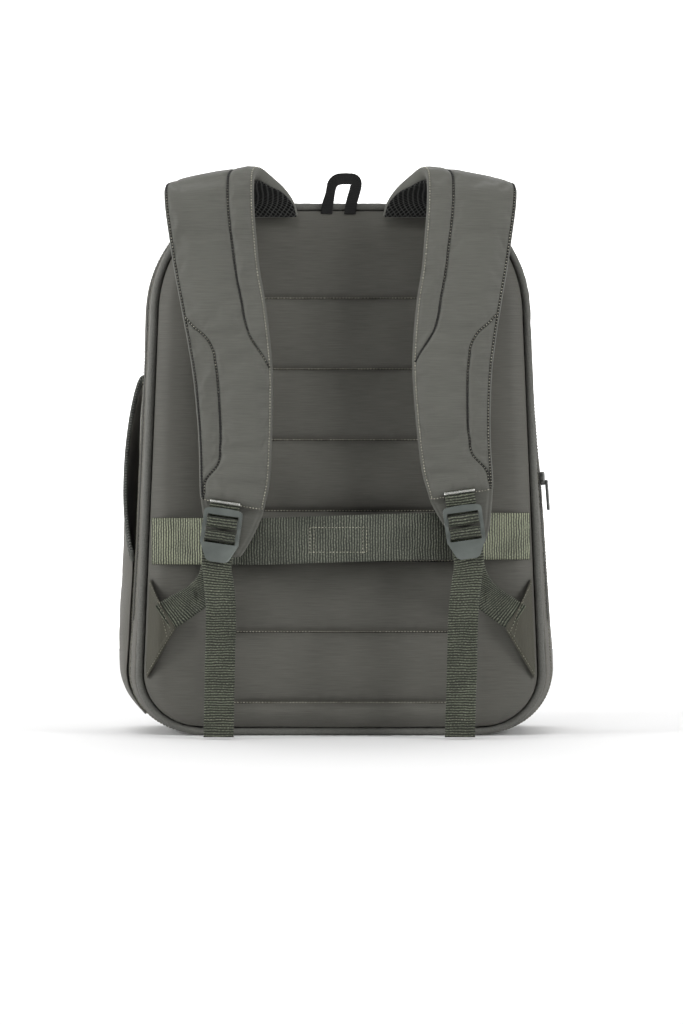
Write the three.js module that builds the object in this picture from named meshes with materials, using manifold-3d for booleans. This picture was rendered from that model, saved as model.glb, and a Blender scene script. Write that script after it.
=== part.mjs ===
// A laptop backpack that stands on its base, seen from the side that lies against the wearer's back.
// Millimetres, +Z up. The padded back panel faces -Y, the front pocket faces +Y and +X is to the right.
// The pieces are laid out round the middle of the rear seam at base height, and the whole group is then
// moved so that its origin is the middle of the base of its bounding box.
import * as THREE from 'three';
import Module from 'manifold-3d';
import { mergeVertices } from 'three/addons/utils/BufferGeometryUtils.js';

// Bag body
const bodyHeight = 430;
const seamLift = 6.5; // rear seam above the base
const crestRise = 5; // top of the gusset above the rear seam
const baseHalfWidth = 160; // rear seam, at its widest near the base
const topHalfWidth = 148; // rear seam, where the top corners begin
const baseCornerWidth = 49;
const baseCornerHeight = 44;
const topCornerWidth = 66;
const topCornerHeight = 85;
const sideSwell = 15; // how far the gusset swells past the rear seam, near the base
const topSwell = 9; // the same where the top corners begin
const sideLean = 5; // the front part leans to the left at the top
const leanStart = 150; // height above which it leans
const swellDepth = 44; // depth at which the swell is full
const baseDepth = 132; // rear seam to front seam at the base
const topDepth = 92; // the same at the top
const seamLeanPower = 1.7; // above 1 the front seam leans back mostly near the top
const gussetWall = 2.6;
const frontWall = 2.4;
const frontCrown = 13; // how far the front panel domes
const frontSquareness = 4; // 2 would dome it in ellipses
const frontDomePower = 2.6; // above 1 it is flatter in the middle
const frontRounding = 7; // from its rim to its front
const frontRim = 20; // front seam to the middle of the main zip
const gap = 0.3; // between sewn pieces

// Quilted back panel
const panelEdge = 4; // thickness of the panel's sewn edge behind the seam plane
const edgeHeight = 1.2; // in front of the seam plane
const seamHeight = 3.2; // at the bottom of a quilting seam
const padCrown = 9.5;
const sideCrown = 8.5;
const pillowPower = 3.2; // 2 would make the pads round
const pillowFullness = 0.6; // below 1 fills them towards their sides
const edgeRoll = 13; // width over which the pads roll down to the sewn edge
const quiltHalfWidth = 107;
const quiltPitch = 57.3;
const quiltTopMargin = 71; // rear seam's top to the first quilting seam
const quiltBaseMargin = 20.5; // rear seam's bottom to the last one
const upperPads = 4;
const lowerPads = 3;

// Piping and zips
const pipingWidth = 6;
const pipingDepth = 5.4;
const zipWidth = 8;
const zipThickness = 1.4;
const zipRecess = 0.8;
const coilWidth = 4;
const coilHeight = 1.3;
const rearZipDepth = 16;
const rearZipEnd = 95; // height of the zips' ends
const mainZipEnd = 68;
const zipRamp = 6;

// Front pocket
const pocketHalfWidth = 121;
const pocketTopHalfWidth = 108;
const pocketBottom = 20;
const pocketTop = 262;
const pocketCorner = 34;
const pocketStandoff = 30;
const pocketFootFullness = 1.06; // shares of the standoff at the bottom and at the top
const pocketHeadFullness = 0.86;
const pocketWall = 2;
const pocketSeat = 0.8; // clearance to the curved front
const pocketZipDrop = 26; // pocket's top edge to the zip's middle
const pocketZipSag = 12;
const pocketZipReach = 86; // its ends from the centreline

// Bottle pocket on the left side
const bottleRear = 22;
const bottleFrontMargin = 34; // its front edge to the front seam
const bottleBottom = 16;
const bottleRearTop = 140;
const bottleFrontTop = 286;
const bottleBulge = 9;
const bottleClearance = 0.6; // between it and the gusset, which has flat facets
const bottleMouthPower = 0.85; // below 1 the mouth climbs sooner
const bottleWall = 1.6;
const elasticWidth = 9;
const elasticThickness = 2.6;

// Shoulder straps
const strapRise = 21.5; // middle of the strap's thickness above the rear seam, at its crest
const strapDrop = 230; // rear seam's top to the strap's stitched end
const strapReach = 51; // middle of the strap's thickness in front of the seam plane
const strapWidth = 72;
const strapThickness = 12.5;
const strapSpread = 104; // middle of the strap's width from the centreline, at its crest
const strapSeamDepth = 2.2;
const liningThickness = 1.6;
const liningMargin = 0.03; // share of the strap's width left bare at each edge

// Webbing and buckles
const webbingWidth = 24;
const webbingThickness = 1.3;
const luggageWidth = 37.5;
const luggageThickness = 1.5;
const luggageHeight = 159.5; // middle of its width above the base
const luggageReach = 24; // clear space between it and the pads
const luggageTilt = 2; // rise from the middle to each tube's place
const buckleLength = 43;
const buckleRail = 2.7;
const buckleThickness = 3.4;
const buckleLean = 8; // degrees
const buckleShoulder = 4; // radius of its corners
const slotClearance = 0.7; // across the webbing's width, each side
const liftTab = 14.8; // length of the buckle's lift tab
const topBar = 5.6;
const slotRoom = 2; // a slot's height beyond the webbing that it holds
const tailEnd = 2; // free ends above the base

// The two straps hang a little differently. Sway moves the stitched end away from the centreline, longer
// adds to the drop, tabLength runs from the stitched end to the middle of the buckle, and the spreads are
// places from the centreline.
const sides = {
  right: { sway: 5, longer: -2, tabLength: 33, buckleSpread: 98.9, tailTop: 98.6, tailFoot: 95 },
  left: { sway: -5, longer: 6.6, tabLength: 27, buckleSpread: 95.3, tailTop: 94, tailFoot: 97 },
};

// Wings that hold the lower webbing
const wingBottom = 45;
const wingTop = 128;
const wingTipHeight = 98;
const wingReach = 19; // from the side seam to the middle of its tip
const wingThickness = 3;
const wingLift = 8; // how far the tip stands off the pads
const wingTipAngle = 56; // degrees, the tip's edge above the horizontal
const wingRootInset = 2.2; // from the side seam

// Hang loop
const loopWebbing = 9.5;
const loopThickness = 1.6;
const loopHeight = 30;
const loopGap = 9.5;
const loopLean = 14; // degrees
const loopShift = -2;
const loopFoot = 3; // below the top seam

const seamBottom = seamLift;
const seamTop = bodyHeight - crestRise;
const degrees = Math.PI / 180;

const mix = (a, b, share) => a + (b - a) * share;
const clamp = (value, low, high) => Math.min(Math.max(value, low), high);

// Solids from rows of points

const vector = (x, y, z) => new THREE.Vector3(x, y, z);

function geometryOf(positions, triangles) {
  const geometry = new THREE.BufferGeometry();
  const numbers = positions.flatMap((point) => point.toArray());
  geometry.setAttribute('position', new THREE.Float32BufferAttribute(numbers, 3));
  const volume = triangles.reduce((sum, [a, b, c]) => {
    const cross = vector(0, 0, 0).crossVectors(positions[b], positions[c]);
    return sum + positions[a].dot(cross);
  }, 0);
  geometry.setIndex(triangles.flatMap(([a, b, c]) => (volume < 0 ? [a, c, b] : [a, b, c])));
  return geometry;
}

const wasm = await Module();
wasm.setup();

function solidOf(geometry) {
  const bare = geometry.clone();
  bare.deleteAttribute('normal');
  bare.deleteAttribute('uv');
  const merged = mergeVertices(bare);
  return new wasm.Manifold(new wasm.Mesh({
    numProp: 3,
    vertProperties: merged.attributes.position.array,
    triVerts: merged.index.array,
  }));
}

function geometryFrom(solid) {
  const mesh = solid.getMesh();
  const geometry = new THREE.BufferGeometry();
  geometry.setAttribute('position', new THREE.BufferAttribute(mesh.vertProperties, 3));
  return geometry.setIndex(new THREE.BufferAttribute(mesh.triVerts, 1));
}

// Joins sections that each hold the same number of points. A closed loft returns to its first section,
// and an open one gets flat ends.
function loft(sections, closed = false) {
  const around = sections[0].length;
  const triangles = [];
  const spans = closed ? sections.length : sections.length - 1;
  for (let i = 0; i < spans; i++) {
    const next = (i + 1) % sections.length;
    for (let j = 0; j < around; j++) {
      const k = (j + 1) % around;
      const [a, b, c, d] = [i * around + j, i * around + k, next * around + k, next * around + j];
      triangles.push([a, b, c], [a, c, d]);
    }
  }
  if (!closed) {
    const last = (sections.length - 1) * around;
    for (const [a, b, c] of endTriangles(around)) triangles.push([a, c, b], [last + a, last + b, last + c]);
  }
  return geometryOf(sections.flat(), triangles);
}

// Fills a flat end whose points run out along one side and back along the other.
function endTriangles(around) {
  const triangles = [];
  for (let low = 0, high = around - 1; low + 1 < high; low++, high--) {
    triangles.push([low, low + 1, high]);
    if (low + 1 < high - 1) triangles.push([low + 1, high - 1, high]);
  }
  return triangles;
}

// A wall between two grids of the same size.
function wallBetween(outer, inner) {
  const rows = outer.length;
  const columns = outer[0].length;
  const back = rows * columns;
  const at = (i, j) => i * columns + j;
  const triangles = [];
  const quad = (a, b, c, d) => triangles.push([a, b, c], [a, c, d]);
  for (let i = 0; i + 1 < rows; i++) {
    for (let j = 0; j + 1 < columns; j++) {
      quad(at(i, j), at(i, j + 1), at(i + 1, j + 1), at(i + 1, j));
      quad(back + at(i, j), back + at(i + 1, j), back + at(i + 1, j + 1), back + at(i, j + 1));
    }
    quad(at(i, 0), at(i + 1, 0), back + at(i + 1, 0), back + at(i, 0));
    const [here, next] = [at(i, columns - 1), at(i + 1, columns - 1)];
    quad(here, back + here, back + next, next);
  }
  for (let j = 0; j + 1 < columns; j++) {
    quad(at(0, j), back + at(0, j), back + at(0, j + 1), at(0, j + 1));
    quad(at(rows - 1, j), at(rows - 1, j + 1), back + at(rows - 1, j + 1), back + at(rows - 1, j));
  }
  return geometryOf([...outer.flat(), ...inner.flat()], triangles);
}

// A dished wall from nested loops that each close on a middle point, joined at their rims.
function dish(outerLoops, outerMiddle, innerLoops, innerMiddle) {
  const around = outerLoops[0].length;
  const loops = [...outerLoops.slice().reverse(), ...innerLoops];
  const triangles = [];
  for (let i = 0; i + 1 < loops.length; i++) {
    for (let j = 0; j < around; j++) {
      const k = (j + 1) % around;
      const [a, b, c, d] = [i * around + j, i * around + k, (i + 1) * around + k, (i + 1) * around + j];
      triangles.push([a, b, c], [a, c, d]);
    }
  }
  const top = loops.length * around;
  const last = (loops.length - 1) * around;
  for (let j = 0; j < around; j++) {
    const k = (j + 1) % around;
    triangles.push([top, k, j], [top + 1, last + j, last + k]);
  }
  return geometryOf([...loops.flat(), outerMiddle, innerMiddle], triangles);
}

// A flat strap along a path: each stop has its place, the direction of its width and, if it isn't the
// strap's own, its width.
function ribbon(stops, width, thickness) {
  return loft(stops.map((stop, i) => {
    const before = stops[Math.max(i - 1, 0)].at;
    const after = stops[Math.min(i + 1, stops.length - 1)].at;
    const along = after.clone().sub(before).normalize();
    const across = stop.across.clone().normalize();
    const normal = vector(0, 0, 0).crossVectors(along, across).normalize().multiplyScalar(thickness / 2);
    const half = across.multiplyScalar((stop.width ?? width) / 2);
    return [[-1, -1], [1, -1], [1, 1], [-1, 1]].map(([u, n]) =>
      stop.at.clone().addScaledVector(half, u).addScaledVector(normal, n));
  }));
}

function mirrored(geometry) {
  const copy = geometry.clone().scale(-1, 1, 1);
  const order = copy.index ? Array.from(copy.index.array) : [...copy.attributes.position.array.keys()]
    .slice(0, copy.attributes.position.count);
  for (let i = 0; i < order.length; i += 3) [order[i + 1], order[i + 2]] = [order[i + 2], order[i + 1]];
  return copy.setIndex(order);
}

// Outline of the bag, seen from behind

// The outline grows with the swell, which is 0 at the rear seam and 1 at full depth.
function outline(swell, inset = 0) {
  const grow = sideSwell * swell;
  return {
    halfBase: baseHalfWidth + grow - inset,
    halfTop: topHalfWidth + topSwell * swell - inset,
    lean: sideLean * swell,
    low: seamLift * (1 - swell) + inset,
    high: seamTop + crestRise * swell - inset,
    baseWidth: baseCornerWidth + grow / 2 - inset,
    baseHeight: baseCornerHeight + grow / 2 - inset,
    topWidth: topCornerWidth + grow / 2 - inset,
    topHeight: topCornerHeight + grow / 2 - inset,
  };
}

// Shares of each half loop: base, base corner, side, top corner and top.
const loopParts = { base: 0.14, baseCorner: 0.3, side: 0.7, topCorner: 0.87, top: 1 };

// A place on an outline: 0 is the middle of the base, 1 the middle of the top, and a negative share
// is on the left.
function outlinePoint(shape, share) {
  const side = Math.sign(share) || 1;
  const at = Math.abs(share);
  const within = (from, to) => (at - from) / (to - from);
  const { base, baseCorner, side: sideEnd, topCorner, top } = loopParts;
  const sideLow = shape.low + shape.baseHeight;
  const sideHigh = shape.high - shape.topHeight;
  let x;
  let z;
  if (at <= base) {
    x = (shape.halfBase - shape.baseWidth) * within(0, base);
    z = shape.low;
  } else if (at <= baseCorner) {
    const turn = within(base, baseCorner) * Math.PI / 2;
    x = shape.halfBase - shape.baseWidth * (1 - Math.sin(turn));
    z = sideLow - shape.baseHeight * Math.cos(turn);
  } else if (at <= sideEnd) {
    x = mix(shape.halfBase, shape.halfTop, within(baseCorner, sideEnd));
    z = mix(sideLow, sideHigh, within(baseCorner, sideEnd));
  } else if (at <= topCorner) {
    const turn = within(sideEnd, topCorner) * Math.PI / 2;
    x = shape.halfTop - shape.topWidth * (1 - Math.cos(turn));
    z = sideHigh + shape.topHeight * Math.sin(turn);
  } else {
    x = (shape.halfTop - shape.topWidth) * (1 - within(topCorner, top));
    z = shape.high;
  }
  return { x: side * x - leanAt(shape, z), z };
}

function leanAt(shape, z) {
  return shape.lean * clamp((z - leanStart) / (bodyHeight - leanStart), 0, 1);
}

function shareAtHeight(z) {
  const shape = outline(1);
  const sideLow = shape.low + shape.baseHeight;
  const sideHigh = shape.high - shape.topHeight;
  return mix(loopParts.baseCorner, loopParts.side, (z - sideLow) / (sideHigh - sideLow));
}

const rightShares = (() => {
  const { base, baseCorner, side, topCorner, top } = loopParts;
  const steps = (from, to, count) => Array.from({ length: count }, (_, i) => mix(from, to, i / count));
  const shares = [
    ...steps(0, base, 1), ...steps(base, baseCorner, 5), ...steps(baseCorner, side, 5),
    ...steps(side, topCorner, 5), topCorner, top,
    ...[rearZipEnd, mainZipEnd].flatMap((end) => [shareAtHeight(end), shareAtHeight(end - zipRamp)]),
  ];
  return shares.sort((a, b) => a - b);
})();
const loopShares = [...rightShares, ...rightShares.slice(1, -1).reverse().map((share) => -share)];

// Half the width at a height, between the same corners as the loops.
function halfWidthAt(shape, z) {
  const corners = rightShares.slice(1, -1).map((share) => outlinePoint({ ...shape, lean: 0 }, share));
  const next = corners.findIndex((corner) => corner.z > z);
  if (next === 0) return corners[0].x;
  if (next < 0) return corners.at(-1).x;
  const [a, b] = [corners[next - 1], corners[next]];
  return mix(a.x, b.x, (z - a.z) / (b.z - a.z));
}

const swellAt = (depth) => {
  const left = 1 - clamp(depth / swellDepth, 0, 1);
  return Math.sqrt(1 - left * left);
};

// Depth of the front seam, which leans back towards the top.
const frontSeam = (z) => mix(baseDepth, topDepth, clamp(z / bodyHeight, 0, 1) ** seamLeanPower);
const mainZipDepth = (z) => frontSeam(z) - frontRim;

// A point of the gusset: its depth may follow its height.
function gussetPoint(share, depth, inset) {
  const rough = outlinePoint(outline(1, 0), share);
  const y = typeof depth === 'function' ? depth(rough.z, Math.abs(share)) : depth;
  const place = outlinePoint(outline(swellAt(y), inset), share);
  return vector(place.x, y, place.z);
}

// Half the opening that a zip fills between two gussets, which closes to a sewn seam below its ends.
function zipGap(z, end) {
  const open = clamp((z - (end - zipRamp)) / zipRamp, 0, 1);
  return mix(gap / 2, zipWidth / 2 + gap, open);
}

// A gusset is a ring whose outer and inner edges are given by depths, rear to front.
function gussetRing(depths, innerDepths, wall) {
  return loft(loopShares.map((share) => [
    ...depths.map((depth) => gussetPoint(share, depth, 0)),
    ...innerDepths.slice().reverse().map((depth) => gussetPoint(share, depth, wall)),
  ]), true);
}

function rearGusset() {
  const rear = pipingDepth - edgeHeight + gap;
  const front = (z) => rearZipDepth - zipGap(z, rearZipEnd);
  return gussetRing([rear, front], [rear, front], gussetWall);
}

function bodyGusset() {
  const rear = (z) => rearZipDepth + zipGap(z, rearZipEnd);
  const front = (z) => mainZipDepth(z) - zipGap(z, mainZipEnd);
  const swelling = mix(rearZipDepth + zipWidth, swellDepth, 0.35);
  return gussetRing([rear, swelling, swellDepth, front], [rear, swelling, swellDepth, front], gussetWall);
}

// The zip runs up one side, over the top and down the other: tape with a raised coil along its middle.
function gussetZip(middleOf, end) {
  const lowest = shareAtHeight(end) - 1e-6;
  const right = [shareAtHeight(end - 0.8 * zipRamp), ...rightShares.filter((share) => share >= lowest)];
  const run = [...right, ...right.slice(0, -1).reverse().map((share) => -share)];
  const section = [
    [-zipWidth / 2, zipRecess + zipThickness], [-zipWidth / 2, zipRecess],
    [-coilWidth / 2, zipRecess], [-coilWidth / 4, zipRecess - coilHeight],
    [coilWidth / 4, zipRecess - coilHeight], [coilWidth / 2, zipRecess],
    [zipWidth / 2, zipRecess], [zipWidth / 2, zipRecess + zipThickness],
  ];
  const narrowing = (z) => zipGap(z, end) / zipGap(bodyHeight, end);
  return loft(run.map((share) => section.map(([offset, inset]) =>
    gussetPoint(share, (z) => middleOf(z) + offset * narrowing(z), inset))));
}

// Piping beside the back panel's sewn edge.
function rearPiping() {
  const across = pipingWidth / 2;
  const along = pipingDepth / 2;
  const middle = along - edgeHeight;
  const sides = 6;
  return loft(loopShares.map((share) => Array.from({ length: sides }, (_, i) => {
    const turn = (i + 0.5) / sides * 2 * Math.PI;
    const out = across + across * Math.cos(turn);
    const place = outlinePoint(outline(0, -out), share);
    return vector(place.x, middle + along * Math.sin(turn), place.z);
  })), true);
}

// Back panel

const panelShape = outline(0, gap);
const quiltSeams = [
  ...Array.from({ length: upperPads }, (_, i) => seamTop - quiltTopMargin - i * quiltPitch),
  ...Array.from({ length: lowerPads }, (_, i) => seamBottom + quiltBaseMargin + i * quiltPitch),
].sort((a, b) => a - b);

const pillow = (share) => 1 - Math.abs(2 * clamp(share, 0, 1) - 1) ** pillowPower;

function quiltHalfAt(z) {
  return Math.min(quiltHalfWidth, halfWidthAt(panelShape, z) - 2 * edgeRoll);
}

// Height of the pads in front of the seam plane.
function padHeight(x, z) {
  const half = halfWidthAt(panelShape, z);
  const quilt = quiltHalfAt(z);
  const lines = [panelShape.low, ...quiltSeams, panelShape.high];
  const index = clamp(lines.findIndex((line) => line > z) - 1, 0, lines.length - 2);
  const across = Math.abs(x);
  const height = across < quilt
    ? mix(seamHeight, padCrown, pillow((z - lines[index]) / (lines[index + 1] - lines[index]))
      * pillow((across / quilt + 1) / 2) ** pillowFullness)
    : mix(seamHeight, sideCrown, pillow((across - quilt) / (half - quilt)) ** pillowFullness);
  const fromEdge = Math.min(half - across, z - panelShape.low, panelShape.high - z);
  const roll = Math.sin(clamp(fromEdge / edgeRoll, 0, 1) * Math.PI / 2);
  return mix(edgeHeight, height, roll);
}

const closestRows = 4;

function backPanel() {
  const lines = [panelShape.low, ...quiltSeams, panelShape.high];
  const rows = lines.slice(1).flatMap((line, i) =>
    [0, 0.14, 0.5, 0.86].map((share) => mix(lines[i], line, share)));
  const cornerRows = rightShares.map((share) => outlinePoint(panelShape, share).z).filter((z) =>
    z < panelShape.low + panelShape.baseHeight || z > panelShape.high - panelShape.topHeight);
  const apart = rows.filter((z) =>
    quiltSeams.includes(z) || cornerRows.every((row) => Math.abs(row - z) > closestRows));
  const heights = [...new Set([...apart, ...cornerRows])].sort((a, b) => a - b);
  const middleColumns = [0, 0.55, 0.88, 1];
  const sideColumns = [0.14, 0.5, 0.84, 1];
  const grid = heights.map((z) => {
    const half = halfWidthAt(panelShape, z);
    const quilt = quiltHalfAt(z);
    const right = [...middleColumns.map((share) => share * quilt),
      ...sideColumns.map((share) => mix(quilt, half, share))];
    return [...right.slice(1).reverse().map((x) => -x), ...right].map((x) => ({ x, z }));
  });
  return wallBetween(
    grid.map((row) => row.map(({ x, z }) => vector(x, -padHeight(x, z), z))),
    grid.map((row) => row.map(({ x, z }) => vector(x, panelEdge - edgeHeight, z))),
  );
}

// Front of the bag

const frontShape = outline(1);
const frontMiddle = (frontShape.low + frontShape.high) / 2;

// How far out a place lies on the front, from 0 in the middle to 1 at the seam.
function frontShare(x, z) {
  const half = halfWidthAt(frontShape, clamp(z, frontShape.low, frontShape.high));
  const tall = (frontShape.high - frontShape.low) / 2;
  const wide = Math.abs(x + leanAt(frontShape, z)) / half;
  const high = Math.abs(z - frontMiddle) / tall;
  return clamp((wide ** frontSquareness + high ** frontSquareness) ** (1 / frontSquareness), 0, 1);
}

const frontSurface = (x, z) => frontSeam(z) + frontCrown * (1 - frontShare(x, z) ** frontDomePower);

function frontLoop(shrink, setBack, inset) {
  return loopShares.map((share) => {
    const place = outlinePoint(outline(1, inset), share);
    const x = place.x * shrink;
    const z = mix(frontMiddle, place.z, shrink);
    return vector(x, frontSurface(x, z) - setBack, z);
  });
}

function frontPanel() {
  const rimLoop = (inset) => loopShares.map((share) => {
    const place = outlinePoint(outline(1, inset), share);
    return vector(place.x, mainZipDepth(place.z) + zipGap(place.z, mainZipEnd), place.z);
  });
  const shrinks = [0.985, 0.93, 0.8, 0.55, 0.28];
  const outer = [rimLoop(0), frontLoop(1, frontRounding, 0),
    ...shrinks.map((shrink) => frontLoop(shrink, 0, 0))];
  const inner = [rimLoop(frontWall), frontLoop(1, frontRounding, frontWall),
    ...shrinks.slice(1).map((shrink) => frontLoop(shrink, frontWall, frontWall))];
  const middle = frontSurface(0, frontMiddle);
  return dish(outer, vector(0, middle, frontMiddle), inner, vector(0, middle - frontWall, frontMiddle));
}

function pocketOutline(inset) {
  const corner = pocketCorner - inset;
  const low = pocketBottom + inset;
  const high = pocketTop - inset;
  const steps = 4;
  const arc = (width, z, start) => Array.from({ length: steps + 1 }, (_, i) => {
    const turn = (start + 90 * i / steps) * degrees;
    return { x: width - inset - corner + corner * Math.cos(turn), z: z + corner * Math.sin(turn) };
  });
  const lower = arc(pocketHalfWidth, low + corner, -90);
  const upper = arc(pocketTopHalfWidth, high - corner, 0);
  const between = (a, b, shares) => shares.map((share) =>
    ({ x: mix(a.x, b.x, share), z: mix(a.z, b.z, share) }));
  const half = [
    ...between({ x: 0, z: low }, lower[0], [0.5]), ...lower,
    ...between(lower.at(-1), upper[0], [0.25, 0.5, 0.75]), ...upper,
    ...between(upper.at(-1), { x: 0, z: high }, [0.5]),
  ];
  const left = half.slice().reverse().map(({ x, z }) => ({ x: -x, z }));
  return [{ x: 0, z: low }, ...half, { x: 0, z: high }, ...left];
}

const pocketMiddle = (pocketBottom + pocketTop) / 2;

// Rise of the pocket's face over the front panel, from its sewn edge to its middle.
const pocketSteps = [
  { shrink: 1, rise: 0 }, { shrink: 0.985, rise: 0.45 }, { shrink: 0.945, rise: 0.74 },
  { shrink: 0.85, rise: 0.9 }, { shrink: 0.5, rise: 1 },
];

function pocketSurface(x, z, rise) {
  const up = (z - pocketBottom) / (pocketTop - pocketBottom);
  const fullness = mix(pocketFootFullness, pocketHeadFullness, up);
  return frontSurface(x, z) + pocketSeat + pocketStandoff * rise * fullness;
}

function frontPocket() {
  const loops = (inset) => pocketSteps.map(({ shrink, rise }) => pocketOutline(inset).map((place) => {
    const x = place.x * shrink;
    const z = mix(pocketMiddle, place.z, shrink);
    return vector(x, pocketSurface(x, z, rise) - (rise > 0 ? inset : 0), z);
  }));
  const middle = (inset) => vector(0, pocketSurface(0, pocketMiddle, 1) - inset, pocketMiddle);
  return dish(loops(0), middle(0), loops(pocketWall), middle(pocketWall));
}

// Share of the pocket's full rise at a place on its face.
function pocketRise(x, z) {
  const half = mix(pocketHalfWidth, pocketTopHalfWidth, (z - pocketBottom) / (pocketTop - pocketBottom));
  const out = Math.max(Math.abs(x) / half, Math.abs(z - pocketMiddle) / (pocketTop - pocketMiddle));
  const steps = pocketSteps.slice().reverse();
  const next = steps.findIndex((step) => step.shrink >= out);
  if (next <= 0) return 1;
  const [a, b] = [steps[next - 1], steps[next]];
  return mix(a.rise, b.rise, (out - a.shrink) / (b.shrink - a.shrink));
}

const pocketZipHeight = (x) => pocketTop - pocketZipDrop - pocketZipSag * (x / pocketTopHalfWidth) ** 2;

function pocketFace(x, z) {
  return Math.max(...[-1, 0, 1].map((side) => pocketSurface(x, z + side, pocketRise(x, z + side)))) + gap;
}

// The pocket's zip lies on its face, and bends over its shoulders.
function pocketZip() {
  const stops = 12;
  return loft(Array.from({ length: stops + 1 }, (_, i) => {
    const x = mix(-pocketZipReach, pocketZipReach, i / stops);
    const z = pocketZipHeight(x);
    return [
      [-zipWidth / 2, 0], [-zipWidth / 2, zipThickness], [-coilWidth / 2, zipThickness],
      [-coilWidth / 4, zipThickness + coilHeight], [coilWidth / 4, zipThickness + coilHeight],
      [coilWidth / 2, zipThickness], [zipWidth / 2, zipThickness], [zipWidth / 2, 0],
    ].map(([offset, out]) => vector(x, pocketFace(x, z + offset) + out, z + offset));
  }));
}

// Bottle pocket: an open-topped wall on the left of the gusset, whose mouth climbs towards the front.

const bottleFront = (z) => frontSeam(z) - bottleFrontMargin;
const mouthHeight = (across) => mix(bottleRearTop, bottleFrontTop, across ** bottleMouthPower);

function bottleStandoff(across, up) {
  const sides = Math.sin(Math.PI * clamp(across, 0, 1)) ** 0.55;
  const foot = Math.sin(clamp(up / 0.5, 0, 1) * Math.PI / 2);
  return bottleBulge * sides * foot;
}

function bottlePoint(across, z, out) {
  const up = (z - bottleBottom) / (mouthHeight(across) - bottleBottom);
  const y = mix(bottleRear, bottleFront(z), across);
  const shape = outline(swellAt(y));
  return vector(-(halfWidthAt(shape, z) + leanAt(shape, z) + out + bottleStandoff(across, up)), y, z);
}

const bottleColumns = [0, 0.05, 0.16, 0.32, 0.5, 0.68, 0.84, 0.95, 1];

// Heights of the wall's rows: round the bag's lower corner, then evenly up to the mouth.
function bottleHeights(across) {
  const corner = rightShares.map((share) => outlinePoint(outline(1), share).z)
    .filter((z) => z > bottleBottom + gap && z <= outline(1).baseHeight);
  const rise = [0.15, 0.32, 0.55, 1].map((share) => mix(corner.at(-1), mouthHeight(across), share));
  return [bottleBottom, ...corner, ...rise];
}

function bottlePocket() {
  const grid = (out) => bottleColumns.map((across) =>
    bottleHeights(across).map((z) => bottlePoint(across, z, out)));
  return wallBetween(grid(bottleClearance + bottleWall), grid(bottleClearance));
}

// Elastic binding that runs on past the pocket's mouth and hides its raw edge.
function bottleElastic() {
  const middle = bottleClearance + bottleWall / 2;
  return loft(bottleColumns.map((across) => {
    const top = bottlePoint(across, mouthHeight(across), middle);
    const [near, far] = [elasticThickness * 0.15, elasticThickness * 0.5];
    return [[near, 0], [-far, 0], [-far, elasticWidth], [near, elasticWidth]].map(([out, up]) =>
      vector(top.x + out, top.y, top.z + gap + up));
  }));
}

// Shoulder straps

// Rise, drop and reach are shares of strapRise, strapDrop and strapReach; centre, width and thickness are
// shares of strapSpread, strapWidth and strapThickness; twist lifts the inner edge by a share of the
// strap's thickness. The outer face has two stitched channels: seam is the inner one's place across the
// width from the outer edge, and lobe the outer one's.
const edgePlace = { seam: 0.93, lobe: 0.08 }; // where a channel has run out into the strap's edge

// From the root in the top seam and over the crest.
const crestStops = [
  { rise: -0.3, reach: 0.19, centre: 0.62, width: 0.86, thick: 0.5, twist: 0, seam: 0.7 },
  { rise: 0.2, reach: 0.19, centre: 0.655, width: 0.88, thick: 0.72, twist: 0, seam: 0.7 },
  { rise: 0.62, reach: 0.25, centre: 0.74, width: 0.93, thick: 0.86, twist: 0.25, seam: 0.7 },
  { rise: 0.92, reach: 0.38, centre: 0.86, width: 0.98, thick: 0.95, twist: 0.55, seam: 0.71 },
  { rise: 1, reach: 0.57, centre: 0.955, width: 1.01, thick: 1, twist: 1.1, seam: 0.72 },
  { rise: 0.86, reach: 0.78, centre: 1, width: 1.01, thick: 1, twist: 1, seam: 0.71 },
  { rise: 0.48, reach: 0.93, centre: 1.004, width: 1, thick: 1, twist: 0.55, seam: 0.705 },
];

// From the crest down to the stitched end.
const hangStops = [
  { drop: 0, reach: 0.99, centre: 1, width: 0.995, thick: 1, twist: 0.1, seam: 0.705, lobe: 0.08 },
  { drop: 0.11, reach: 1.01, centre: 0.975, width: 0.975, thick: 1, twist: 0, seam: 0.71, lobe: 0.08 },
  { drop: 0.22, reach: 1.02, centre: 0.945, width: 0.955, thick: 1, twist: 0, seam: 0.715, lobe: 0.08 },
  { drop: 0.33, reach: 1.02, centre: 0.903, width: 0.95, thick: 1, twist: 0, seam: 0.72, lobe: 0.08 },
  { drop: 0.4, reach: 1.015, centre: 0.88, width: 0.937, thick: 1, twist: 0, seam: 0.73, lobe: 0.08 },
  { drop: 0.44, reach: 1.01, centre: 0.868, width: 0.928, thick: 1, twist: 0, seam: 0.76, lobe: 0.22 },
  { drop: 0.49, reach: 1.005, centre: 0.855, width: 0.916, thick: 1, twist: 0, seam: 0.85, lobe: 0.3 },
  { drop: 0.53, reach: 1, centre: 0.845, width: 0.905, thick: 1, twist: 0, seam: 0.93, lobe: 0.305 },
  { drop: 0.68, reach: 0.98, centre: 0.832, width: 0.855, thick: 1, twist: 0, seam: 0.93, lobe: 0.31 },
  { drop: 0.81, reach: 0.95, centre: 0.836, width: 0.815, thick: 1, twist: -0.1, seam: 0.93, lobe: 0.3 },
  { drop: 0.87, reach: 0.935, centre: 0.842, width: 0.8, thick: 1, twist: -0.2, seam: 0.93, lobe: 0.27 },
  { drop: 0.93, reach: 0.915, centre: 0.853, width: 0.78, thick: 0.9, twist: -0.4, seam: 0.93, lobe: 0.1 },
  { drop: 0.995, reach: 0.87, centre: 0.874, width: 0.72, thick: 0.66, twist: -0.7, seam: 0.93, lobe: 0.08 },
];

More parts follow.
